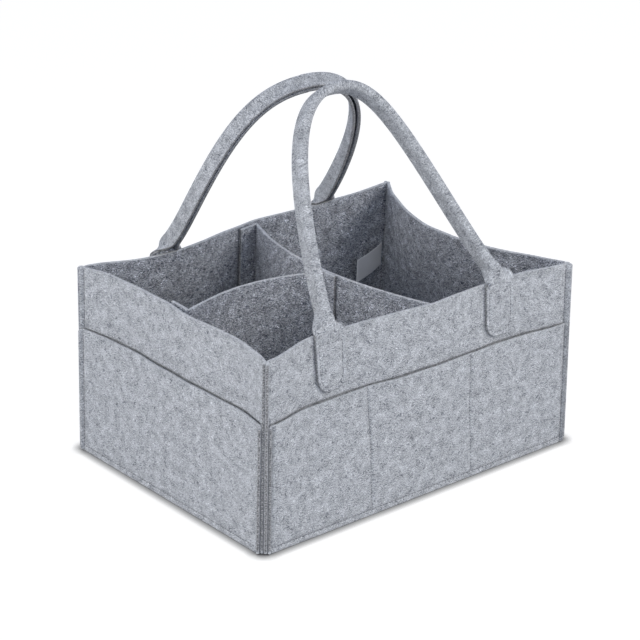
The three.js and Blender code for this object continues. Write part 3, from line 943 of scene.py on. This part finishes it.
    def on_arch(self, run, from_end, half, reach):
        """Points of the strip as it folds and climbs over the arch."""
        along = np.clip(run[:, 0], 0, self.length)
        centre = along_line(self.line, along)
        centre[:, 2] += np.minimum(from_end[:, 0], 0)
        across, into = self.directions(centre, along)
        fold = 1 - (1 - np.clip((from_end + self.sunk) / self.fold, 0, 1)) ** self.close
        place, depth = self.folded(reach, fold)
        balance = self.FOLD_BALANCE + self.HALF_FOLD_BALANCE * np.sin(np.pi * fold)
        depth = depth - self.folded(half, fold)[1] * balance
        arch = centre[:, None] + across[:, None] * place[..., None] + into[:, None] * depth[..., None]
        sideways = self.side.sideways(TAB_PLACE, WALL_TOP)
        return self.side.turned(arch[..., 0] + sideways, arch[..., 1], arch[..., 2])

    def on_wall(self, run, from_end, reach):
        """Points of the strip as if it ran straight up the wall."""
        hand = np.where(run < self.length / 2, -1, 1)
        return self.wall.at(hand * (TAB_PLACE - reach), WALL_TOP + SEAM_GAP + from_end, self.off_wall)

    def grid(self):
        """Middle points of the strip, their flat places and how far each row is past the wall's top."""
        run = self.runs()[:, None]
        from_end = np.minimum(run, self.length - run)
        half = self.half_width(from_end)
        share = np.linspace(-1, 1, self.ACROSS_POINTS)
        reach = half * np.sign(share) * np.abs(share) ** self.ACROSS_CROWDING
        off = ease((from_end + self.LEAVES_WALL) / self.CLEAR_OF_WALL)[..., None]
        tab = self.on_wall(run, from_end, reach)
        arch = self.on_arch(run, from_end, half, reach)
        flat = np.stack(np.broadcast_arrays(reach, run), axis=-1)
        return tab * (1 - off) + arch * off, flat, from_end


def make_handles(settings):
    """Two strips, each one piece of felt with both of its sewn tabs."""
    felt = felt_material(settings.finishes)
    sides = box_sides(settings)
    for place, name in enumerate(("front", "back")):
        strip = HandleStrip(sides[name], settings)
        middle, flat, from_end = strip.grid()
        on_tab = np.stack(np.broadcast_arrays(flat[..., 0], WALL_TOP + from_end), axis=-1)
        outer = strip.felt / 2 - seam_groove(on_tab, [tab_seam(settings)], settings.seams)
        back = np.full(outer.shape, -strip.felt / 2)
        flat = flat + HANDLE_PATTERN + place * np.array(NEXT_PATTERN)
        made = felt_sheet(f"{name}_handle_strip", middle, flat, outer, back, settings.panels.rounding, felt)
        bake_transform(made)
        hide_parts(f"{name}_handle", f"{name}_handle_tab_left", f"{name}_handle_tab_right")


# Insert


def standing_sheet(line, heights, panels):
    """Points of a sheet that stands on a plan line, their distances along it and their heights."""
    shape = (len(heights), len(line))
    plan = np.broadcast_to(line, (*shape, 2))
    z = np.broadcast_to(heights[:, None], shape)
    along = np.broadcast_to(line_length(line), shape)
    return slackened(np.concatenate((plan, z[..., None]), axis=-1), panels), along, z


def divider_line(points, bend):
    """Plan line of a divider through its turned end, corner, bow, corner and turned end."""
    end, corner, control, far_corner, far_end = (np.array(point, float) for point in points)

    def into(start, towards):
        return start + unit(towards - start) * bend

    share = np.linspace(0, 1, DIVIDER_CURVE_POINTS)
    first = bezier((into(corner, end), corner, into(corner, control)), share)
    run = bezier((first[-1], control, into(far_corner, control)), share)
    last = bezier((run[-1], far_corner, into(far_corner, far_end)), share)
    line = np.concatenate((end[None], first, run[1:], last[1:], far_end[None]))
    length = line_length(line)[-1]
    return along_line(line, np.linspace(0, length, 1 + int(length / DIVIDER_STEP)))


def cross_points(settings):
    """Cross divider from the back wall to the front one, with both ends turned to the left."""
    insert = settings.insert
    sides = box_sides(settings)
    reach = INNER_WIDTH / 2 - insert.play - settings.panels.felt / 2

    def back(x):
        return reach - float(sides["back"].inward(-x, WALL_TOP))

    def front(x):
        return float(sides["front"].inward(x, WALL_TOP)) - reach

    corner = insert.cross_place
    left = corner - insert.wall_flange
    control = (corner - 2 * insert.cross_bow, (back(corner) + front(corner)) / 2 + insert.cross_skew)
    return (left, back(left)), (corner, back(corner)), control, (corner, front(corner)), (left, front(left))


def long_points(settings, cross_line):
    """Long divider from the left end wall to the cross divider's left face."""
    insert, panels = settings.insert, settings.panels
    wall = -(INNER_LENGTH / 2 - panels.left_bow - insert.play - panels.felt / 2)

    def face(y):
        run = cross_line[np.argsort(cross_line[:, 1])]
        return float(np.interp(y, run[:, 1], run[:, 0])) - panels.felt - SEAM_GAP

    join_end = insert.long_place - insert.join_flange
    join = face(insert.long_place)
    control = ((wall + join) / 2, insert.long_place + 2 * insert.long_bow)
    return ((wall, insert.long_place + insert.wall_flange), (wall, insert.long_place), control,
            (join, insert.long_place), (face(join_end), join_end))


# Depth and width of the crease at a turned end, in those of a seam's groove
CREASE_DEPTH = 1.4
CREASE_WIDTH = 0.6


def crease(along, fold, seams):
    """Depth to which the felt is drawn in along the inside of a turned end."""
    width = CREASE_WIDTH * seams.groove_width
    return CREASE_DEPTH * seams.groove * np.exp(-(((along - fold) / width) ** 2))


# Length over which the long divider's end rides up at the wall
END_LIFT_REACH = 0.06


def make_insert(settings):
    """Two divider panels of the loose insert."""
    felt = felt_material(settings.finishes)
    insert, half = settings.insert, settings.panels.felt / 2
    cross = divider_line(cross_points(settings), insert.bend)
    long = divider_line(long_points(settings, cross), insert.bend)
    heights = stations(DIVIDER_BOTTOM, DIVIDER_TOP, PANEL_STEP)
    for place, (name, line) in enumerate((("cross_divider", cross), ("long_divider", long))):
        middle, along, z = standing_sheet(line, heights, settings.panels)
        middle[..., 2] += place * insert.end_lift * climb(z) * (1 - ease(along / END_LIFT_REACH))
        flat = np.stack((along, z), axis=-1) + DIVIDER_PATTERN + place * np.array(NEXT_PATTERN)
        first = crease(along, insert.wall_flange, settings.seams)
        far_flange = insert.join_flange if place else insert.wall_flange
        last = crease(along, along[0, -1] - far_flange, settings.seams)
        # The cross divider is creased on its left face only, the long one on both
        front = half - (last if place else first + last)
        back = (first if place else 0 * first) - half
        made = felt_sheet(f"{name}_panel", middle, flat, front, back, settings.panels.rounding, felt,
                          mottled=BOTH_PAINTED_SHADE)
        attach(made, "insert")
        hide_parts(name)


# Label


def make_label(settings):
    """Blank woven tag caught in an inner corner seam, with its free end standing off the wall."""
    tag = settings.tag
    seam = np.array((LABEL_HIGH.x, LABEL_HIGH.y - tag.thickness / 2))
    curve = (seam, seam - np.array(tag.bend), seam - np.array(tag.free_end))
    line = bezier(curve, np.linspace(0, 1, TAG_LENGTH_POINTS))
    heights = np.linspace(LABEL_LOW.z, LABEL_HIGH.z, TAG_HEIGHT_POINTS)
    middle, along, z = standing_sheet(line, heights, settings.panels)
    flat = np.stack((along, z), axis=-1)
    tape = tag_material(settings.finishes)
    made = even_sheet("woven_tag", middle, flat, tag.thickness, tag.thickness / 4, tape)
    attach(made, "basket")
    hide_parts("care_label")


# Stitching


# How far the corner rows stop from the ground, either side of a pocket's mouth and from the wall's top
ROW_FROM_GROUND = 0.004
ROW_FROM_MOUTH = 0.001
ROW_FROM_TOP = 0.002


def sew_box(settings):
    """Stitches of the bottom, the pocket cells and the upright corners."""
    seams, felt = settings.seams, settings.panels.felt
    rows = ThreadRows(seams)
    sunk = felt / 2 - seams.groove
    for side in box_sides(settings).values():
        wall = wall_panel(side, settings.panels)
        pocket = Pocket(side, settings.panels)
        for line in pocket_lines(pocket, seams):
            rows.sew(line, lambda x, z, lift: pocket.at(x, z, sunk + lift))
        for hand in (-1, 1):
            low = upright_row(hand * pocket.bend_end, ROW_FROM_GROUND, POCKET_TOP - ROW_FROM_MOUTH)
            high = upright_row(hand * wall.bend_end, POCKET_TOP + ROW_FROM_MOUTH, WALL_TOP - ROW_FROM_TOP)
            rows.sew(low, lambda x, z, lift: pocket.at(x, z, sunk + lift))
            rows.sew(high, lambda x, z, lift: wall.at(x, z, sunk + lift))
    return rows


def sew_tabs(settings):
    """Stitches of the four handle tabs, outside and where they come through inside."""
    seams, felt = settings.seams, settings.panels.felt
    rows = ThreadRows(seams)
    outside = felt * 1.5 + SEAM_GAP - seams.groove
    inside = felt / 2 - seams.groove
    for name in ("front", "back"):
        wall = wall_panel(box_sides(settings)[name], settings.panels)
        for place in (-TAB_PLACE, TAB_PLACE):
            line = tab_seam(settings) + (place, 0)
            rows.sew(line, lambda x, z, lift: wall.at(x, z, outside + lift))
            rows.sew(line[:-1], lambda x, z, lift: wall.at(x, z, -inside - lift))
    return rows


def make_stitching(settings):
    """All stitches of the basket."""
    thread = thread_material(settings.finishes)
    sew_box(settings).finish("box_stitches", "basket", thread)
    sew_tabs(settings).finish("tab_stitches", "basket", thread)


# Materials


class Nodes:
    """Short way to add nodes to a material or a world and link them."""

    def __init__(self, owner):
        self.tree = owner.node_tree
        self.tree.nodes.clear()

    def add(self, kind, values=None, **settings):
        """New node with those settings, its inputs set to values or linked to sockets."""
        made = self.tree.nodes.new(kind)
        for name, value in settings.items():
            setattr(made, name, value)
        for name, value in (values or {}).items():
            if isinstance(value, bpy.types.NodeSocket):
                self.tree.links.new(value, made.inputs[name])
            else:
                made.inputs[name].default_value = value
        return made

    def math(self, operation, a, b):
        """Result of two numbers or sockets."""
        return self.add("ShaderNodeMath", {0: a, 1: b}, operation=operation).outputs[0]

    def range(self, value, low, high, to_low=0.0, to_high=1.0):
        """Value moved from one range into another and kept within it."""
        values = {"Value": value, "From Min": low, "From Max": high, "To Min": to_low, "To Max": to_high}
        return self.add("ShaderNodeMapRange", values).outputs["Result"]

    def mix(self, share, a, b, blend="MIX"):
        """Two colours mixed."""
        made = self.add("ShaderNodeMix", {0: share, 6: a, 7: b}, data_type="RGBA", blend_type=blend)
        return made.outputs[2]

    def noise(self, vector, scale, detail=2.0, roughness=0.5):
        """Cloudy pattern from 0 to 1."""
        values = {"Vector": vector, "Scale": scale, "Detail": detail, "Roughness": roughness}
        return self.add("ShaderNodeTexNoise", values).outputs["Fac"]

    def surface(self, shader):
        """Ends the material in that shader."""
        self.add("ShaderNodeOutputMaterial", {"Surface": shader.outputs[0]})


def solid(value):
    """Colour with full cover."""
    return (*value, 1.0)


def new_material(name):
    """Material of that name and its nodes, or None in their place if it was made before."""
    if name in bpy.data.materials:
        return bpy.data.materials[name], None
    material = bpy.data.materials.new(name)
    material.use_nodes = True
    return material, Nodes(material)


WHITE = (1.0, 1.0, 1.0, 1.0)

# Fibres in a metre of felt along and across them, and across and along a cut edge
FIBRE_SCALE = (380, 1900, 1)
EDGE_FIBRE_SCALE = (1300, 800, 1)

# Ways that dark fibres lie, the pale ones' turn from them, and how far both curl
FIBRE_TURNS = (0.35, 1.4, 2.5)
PALE_TURN = 0.5
FIBRE_CURL = 0.008

# Ranges of the noise over which fibres fade in, and how deep dark ones lie
DARK_FIBRES = (0.56, 0.66)
PALE_FIBRES = (0.55, 0.68)
DARK_FIBRE_DEPTH = 0.7


def fibre_layer(nodes, flat, turn, low, high):
    """Streaks of fibres that lie about one way."""
    values = {"Vector": flat, "Rotation": (0, 0, turn), "Scale": FIBRE_SCALE}
    turned = nodes.add("ShaderNodeMapping", values).outputs["Vector"]
    return nodes.range(nodes.noise(turned, scale=1.0, detail=1.0), low, high)


def curled_fibres(nodes, flat):
    """Dark and pale fibres that lie every way."""
    warp = nodes.add("ShaderNodeTexNoise", {"Vector": flat, "Scale": 150.0, "Detail": 1.0}).outputs["Color"]
    bent = nodes.add("ShaderNodeVectorMath", {0: warp, 1: (0.5, 0.5, 0.5)}, operation="SUBTRACT").outputs[0]
    bent = nodes.add("ShaderNodeVectorMath", {0: bent, "Scale": FIBRE_CURL}, operation="SCALE").outputs[0]
    curled = nodes.add("ShaderNodeVectorMath", {0: flat, 1: bent}, operation="ADD").outputs[0]
    dark = 0.0
    pale = 0.0
    for turn in FIBRE_TURNS:
        dark = nodes.math("MAXIMUM", fibre_layer(nodes, curled, turn, *DARK_FIBRES), dark)
        pale = nodes.math("MAXIMUM", fibre_layer(nodes, curled, turn + PALE_TURN, *PALE_FIBRES), pale)
    return dark, pale


def felt_faces(nodes, flat, dark, pale, grain, finishes):
    """Colour of the felt's faces, with shade painted on inner faces as stronger fibres and a darker, bluer
    tint.
    """
    cloud = nodes.noise(flat, scale=110.0, detail=3.0, roughness=0.6)
    # Painted shade: this attribute marks faces inside the basket, which get more pale and dark fibres,
    # stronger contrast and a darker, bluer tint
    mottled = nodes.add("ShaderNodeAttribute", attribute_name="mottled").outputs["Fac"]
    pale_share = nodes.math("MULTIPLY", pale, nodes.range(mottled, 0.0, 1.0, to_low=0.55, to_high=0.9))
    body = nodes.mix(pale_share, solid(finishes.felt_grey), solid(finishes.felt_light))
    clumps = nodes.math("ADD", nodes.range(cloud, 0.35, 0.7, to_low=0.55, to_high=1.0), mottled)
    body = nodes.mix(nodes.math("MULTIPLY", dark, clumps), body, solid(finishes.felt_dark))
    specks = nodes.range(grain, 0.3, 0.7, to_low=0.38, to_high=1.62)
    patches = nodes.range(cloud, 0.3, 0.7, to_low=1.2, to_high=0.82)
    # Stronger contrast where shade is painted
    contrast = nodes.range(mottled, 0.0, 1.0, to_low=1.0, to_high=2.0)
    shade = nodes.math("POWER", nodes.math("MULTIPLY", specks, patches), contrast)
    grey = nodes.add("ShaderNodeCombineColor", {0: shade, 1: shade, 2: shade}).outputs[0]
    body = nodes.mix(1.0, body, grey, "MULTIPLY")
    # Painted shade: darker, bluer tint on inner faces
    return nodes.mix(1.0, body, nodes.mix(mottled, WHITE, solid(finishes.inner_tint)), "MULTIPLY")


def felt_edges(nodes, flat, body, finishes):
    """Colour of the felt with its raw edges streaked and its other edges painted paler as a highlight."""
    cut = nodes.add("ShaderNodeAttribute", attribute_name="cut_edge").outputs["Fac"]
    layers = nodes.add("ShaderNodeMapping", {"Vector": flat, "Scale": EDGE_FIBRE_SCALE}).outputs["Vector"]
    streaks = nodes.range(nodes.noise(layers, scale=1.0, detail=2.0, roughness=0.6), 0.39, 0.55)
    edge = nodes.mix(streaks, solid(finishes.edge_pale), solid(finishes.edge_dark))
    body = nodes.mix(nodes.math("MAXIMUM", cut, 0.0), body, edge)
    # Painted highlight on the edges that are not raw, where their fuzz would catch light
    edge_highlight = nodes.math("MAXIMUM", nodes.math("MULTIPLY", cut, -1.0), 0.0)
    return nodes.mix(edge_highlight, body, solid(finishes.felt_light))


def felt_material(finishes):
    """Grey heathered felt: pale and dark fibres every way, clouds, darker cut edges, a painted highlight on
    other edges and painted shade on inner faces.
    """
    material, nodes = new_material("heathered_felt")
    if nodes is None:
        return material
    flat = nodes.add("ShaderNodeTexCoord").outputs["UV"]
    dark, pale = curled_fibres(nodes, flat)
    grain = nodes.noise(flat, scale=1000.0, detail=3.0, roughness=0.75)
    body = felt_edges(nodes, flat, felt_faces(nodes, flat, dark, pale, grain, finishes), finishes)
    sunk = nodes.math("MULTIPLY", dark, -DARK_FIBRE_DEPTH)
    height = nodes.math("ADD", sunk, nodes.math("ADD", grain, pale))
    bump = nodes.add("ShaderNodeBump", {"Height": height, "Strength": 0.35, "Distance": 0.0004})
    shader = nodes.add("ShaderNodeBsdfPrincipled", {
        "Base Color": body, "Roughness": 0.95, "Specular IOR Level": 0.15, "Sheen Weight": 0.18,
        "Sheen Roughness": 0.5, "Normal": bump.outputs["Normal"]})
    nodes.surface(shader)
    return material


# How much paler the thread's twist is, and how much of the tape's white its weave keeps
TWIST_PALER = 1.5
WEAVE_DULLER = 0.92


def thread_material(finishes):
    """Spun grey thread."""
    material, nodes = new_material("grey_thread")
    if nodes is None:
        return material
    place = nodes.add("ShaderNodeTexCoord").outputs["Object"]
    values = {"Vector": place, "Scale": 900.0, "Distortion": 2.0}
    twist = nodes.add("ShaderNodeTexWave", values).outputs["Fac"]
    pale = tuple(min(1.0, TWIST_PALER * part) for part in finishes.thread_grey)
    body = nodes.mix(nodes.range(twist, 0.0, 1.0, to_high=0.6), solid(finishes.thread_grey), solid(pale))
    bump = nodes.add("ShaderNodeBump", {"Height": twist, "Strength": 0.3, "Distance": 0.0001})
    shader = nodes.add("ShaderNodeBsdfPrincipled", {
        "Base Color": body, "Roughness": 0.7, "Sheen Weight": 0.2, "Normal": bump.outputs["Normal"]})
    nodes.surface(shader)
    return material


def tag_material(finishes):
    """Smooth white woven tape."""
    material, nodes = new_material("woven_white_tape")
    if nodes is None:
        return material
    flat = nodes.add("ShaderNodeTexCoord").outputs["UV"]
    threads = []
    for way, scale in (("X", 420.0), ("Y", 520.0)):
        values = {"Vector": flat, "Scale": scale, "Distortion": 0.4}
        threads.append(nodes.add("ShaderNodeTexWave", values, bands_direction=way).outputs["Fac"])
    weave = nodes.math("MULTIPLY", *threads)
    dull = tuple(WEAVE_DULLER * part for part in finishes.tag_white)
    body = nodes.mix(weave, solid(dull), solid(finishes.tag_white))
    bump = nodes.add("ShaderNodeBump", {"Height": weave, "Strength": 0.3, "Distance": 0.0001})
    shader = nodes.add("ShaderNodeBsdfPrincipled", {
        "Base Color": body, "Roughness": 0.55, "Sheen Weight": 0.1, "Normal": bump.outputs["Normal"]})
    nodes.surface(shader)
    return material


def seen_directly(nodes):
    """1 for what the camera sees, straight or in a shiny or clear surface."""
    path = nodes.add("ShaderNodeLightPath")
    seen = nodes.math("MAXIMUM", path.outputs["Is Camera Ray"], path.outputs["Is Glossy Ray"])
    return nodes.math("MAXIMUM", seen, path.outputs["Is Transmission Ray"])


# Reach and depth of the shadow painted into the floor's glow where the basket stands, the floor's own glow
# and its share, and its white
SHADOW_REACH = 0.0108
SHADOW_DEPTH = 2.4
FLOOR_GLOW = 1.1
GLOW_SHARE = 0.85
FLOOR_WHITE = (0.9, 0.9, 0.9, 1.0)


def floor_material():
    """White sweep that glows for the camera, with the basket's contact shadow painted into the glow and a
    little real shadow.
    """
    material, nodes = new_material("white_sweep")
    if nodes is None:
        return material
    matt = nodes.add("ShaderNodeBsdfDiffuse", {"Color": FLOOR_WHITE})
    # Painted contact shadow: ambient occlusion darkens the glow near the basket
    open_sky = nodes.add("ShaderNodeAmbientOcclusion", {"Distance": SHADOW_REACH}, samples=24).outputs["AO"]
    level = nodes.math("MULTIPLY", nodes.math("POWER", open_sky, SHADOW_DEPTH), FLOOR_GLOW)
    glow = nodes.add("ShaderNodeEmission", {"Strength": level})
    seen = nodes.math("MULTIPLY", seen_directly(nodes), GLOW_SHARE)
    nodes.surface(nodes.add("ShaderNodeMixShader", {0: seen, 1: matt.outputs[0], 2: glow.outputs[0]}))
    return material


# Stage


# Soft lights: name, tint, width, height, azimuth and elevation in degrees
WARM_LIGHT = (1.0, 0.955, 0.88)
PLAIN_LIGHT = (1.0, 0.985, 0.955)
LIGHTS = (
    ("key", WARM_LIGHT, 1.6, 1.2, 28.0, 27.0),
    ("fill", WARM_LIGHT, 1.6, 1.2, -98.0, 18.0),
    ("top", PLAIN_LIGHT, 1.5, 1.5, -40.0, 50.0),
)
LIGHT_DISTANCE = 2.2
LIGHT_TARGET = Vector((0, 0, 0.12))

# Light from all round, the camera's sensor in millimetres, and the floor's half-width and drop
SKY_TINT = (0.80, 0.95, 1.33, 1.0)
SENSOR_WIDTH = 36.0
FLOOR_HALF = 8.0
FLOOR_DROP = 0.0002


def from_target(azimuth, elevation):
    """Direction from a target to what stands at those angles, with azimuth 0 at the front."""
    level = math.cos(elevation)
    return Vector((math.sin(azimuth) * level, -math.cos(azimuth) * level, math.sin(elevation)))


def soft_light(name, power, tint, width, height, azimuth, elevation):
    """Soft rectangular light that faces the basket."""
    data = bpy.data.lights.new(name, "AREA")
    data.color = tint
    data.shape = "RECTANGLE"
    data.size, data.size_y = width, height
    data.energy = power
    light = bpy.data.objects.new(name, data)
    back = from_target(math.radians(azimuth), math.radians(elevation))
    light.location = LIGHT_TARGET + back * LIGHT_DISTANCE
    light.rotation_euler = back.to_track_quat("Z", "Y").to_euler()
    bpy.context.scene.collection.objects.link(light)


def even_sky(strength):
    """Even light from all round, seen as white."""
    world = bpy.data.worlds.new("white_surround")
    bpy.context.scene.world = world
    world.use_nodes = True
    nodes = Nodes(world)
    seen = seen_directly(nodes)
    cool = nodes.mix(seen, SKY_TINT, WHITE)
    level = nodes.range(seen, 0.0, 1.0, to_low=strength)
    sky = nodes.add("ShaderNodeBackground", {"Color": cool, "Strength": level})
    nodes.add("ShaderNodeOutputWorld", {"Surface": sky.outputs[0]})


def aim_camera(studio):
    """Camera at the photograph's angle."""
    data = bpy.data.cameras.new("studio_camera")
    data.sensor_width = SENSOR_WIDTH
    data.lens = studio.lens
    camera = bpy.data.objects.new("studio_camera", data)
    back = from_target(studio.azimuth, studio.elevation)
    level = Vector((math.cos(studio.azimuth), math.sin(studio.azimuth), 0))
    up = back.cross(level)
    cos, sin = math.cos(studio.roll), math.sin(studio.roll)
    right = cos * level + sin * up
    tilted = cos * up - sin * level
    axes = Matrix((right, tilted, back)).transposed().to_4x4()
    camera.matrix_world = Matrix.Translation(Vector(studio.target) + back * studio.distance) @ axes
    bpy.context.scene.collection.objects.link(camera)
    bpy.context.scene.camera = camera


def make_stage(settings):
    """White floor, soft lights and the camera."""
    studio = settings.studio
    corners = ((-1, -1), (1, -1), (1, 1), (-1, 1))
    points = np.array([(x * FLOOR_HALF, y * FLOOR_HALF, -FLOOR_DROP) for x, y in corners])
    floor = mesh_object("white_floor", points, [(0, 1, 2, 3)], floor_material())
    for name, *look in LIGHTS:
        soft_light(f"{name}_light", getattr(studio, name), *look)
    even_sky(studio.sky)
    aim_camera(studio)
    bpy.context.scene.view_settings.view_transform = "Standard"


# Add-on


class FELT_OT_walls(bpy.types.Operator):
    """Sew the four walls"""

    bl_idname = "felt_basket.walls"
    bl_label = "Walls"
    bl_options = {"REGISTER", "UNDO"}

    def execute(self, context):
        make_walls(context.scene.felt_basket)
        return {"FINISHED"}


class FELT_OT_base(bpy.types.Operator):
    """Lay the base and turn its edge down"""

    bl_idname = "felt_basket.base"
    bl_label = "Base"
    bl_options = {"REGISTER", "UNDO"}

    def execute(self, context):
        make_base(context.scene.felt_basket)
        return {"FINISHED"}


class FELT_OT_pockets(bpy.types.Operator):
    """Sew the four outer pockets"""

    bl_idname = "felt_basket.pockets"
    bl_label = "Pockets"
    bl_options = {"REGISTER", "UNDO"}

    def execute(self, context):
        make_pockets(context.scene.felt_basket)
        return {"FINISHED"}


class FELT_OT_handles(bpy.types.Operator):
    """Fold the two handle strips"""

    bl_idname = "felt_basket.handles"
    bl_label = "Handles"
    bl_options = {"REGISTER", "UNDO"}

    def execute(self, context):
        make_handles(context.scene.felt_basket)
        return {"FINISHED"}


class FELT_OT_insert(bpy.types.Operator):
    """Set in the loose divider"""

    bl_idname = "felt_basket.insert"
    bl_label = "Insert"
    bl_options = {"REGISTER", "UNDO"}

    def execute(self, context):
        make_insert(context.scene.felt_basket)
        return {"FINISHED"}


class FELT_OT_label(bpy.types.Operator):
    """Catch the woven tag in its seam"""

    bl_idname = "felt_basket.label"
    bl_label = "Label"
    bl_options = {"REGISTER", "UNDO"}

    def execute(self, context):
        make_label(context.scene.felt_basket)
        return {"FINISHED"}


class FELT_OT_stitching(bpy.types.Operator):
    """Run the stitches along every seam"""

    bl_idname = "felt_basket.stitching"
    bl_label = "Stitching"
    bl_options = {"REGISTER", "UNDO"}

    def execute(self, context):
        make_stitching(context.scene.felt_basket)
        return {"FINISHED"}


class FELT_OT_stage(bpy.types.Operator):
    """Set up the floor, the lights and the camera"""

    bl_idname = "felt_basket.stage"
    bl_label = "Stage"
    bl_options = {"REGISTER", "UNDO"}

    def execute(self, context):
        make_stage(context.scene.felt_basket)
        return {"FINISHED"}


OPERATORS = (FELT_OT_stage, FELT_OT_base, FELT_OT_walls, FELT_OT_pockets, FELT_OT_handles, FELT_OT_insert,
             FELT_OT_label, FELT_OT_stitching)
GROUPS = (PanelSizes, HandleSizes, InsertSizes, TagSizes, SeamSizes, Finishes, StudioSettings,
          BasketSettings)


class FELT_PT_basket(bpy.types.Panel):
    """The basket's pieces and sizes"""

    bl_idname = "FELT_PT_basket"
    bl_label = "Felt Basket"
    bl_space_type = "VIEW_3D"
    bl_region_type = "UI"
    bl_category = "Basket"

    def draw(self, context):
        settings = context.scene.felt_basket
        for operator in OPERATORS:
            self.layout.operator(operator.bl_idname)
        for name in BasketSettings.__annotations__:
            box = self.layout.box()
            group = getattr(settings, name)
            for size_name in type(group).__annotations__:
                box.prop(group, size_name)


def register():
    for kind in (*GROUPS, *OPERATORS, FELT_PT_basket):
        bpy.utils.register_class(kind)
    bpy.types.Scene.felt_basket = bpy.props.PointerProperty(type=BasketSettings)


def unregister():
    del bpy.types.Scene.felt_basket
    for kind in reversed((*GROUPS, *OPERATORS, FELT_PT_basket)):
        bpy.utils.unregister_class(kind)


def main():
    register()
    for operator in OPERATORS:
        group, name = operator.bl_idname.split(".")
        getattr(getattr(bpy.ops, group), name)()


if __name__ == "__main__":
    main()
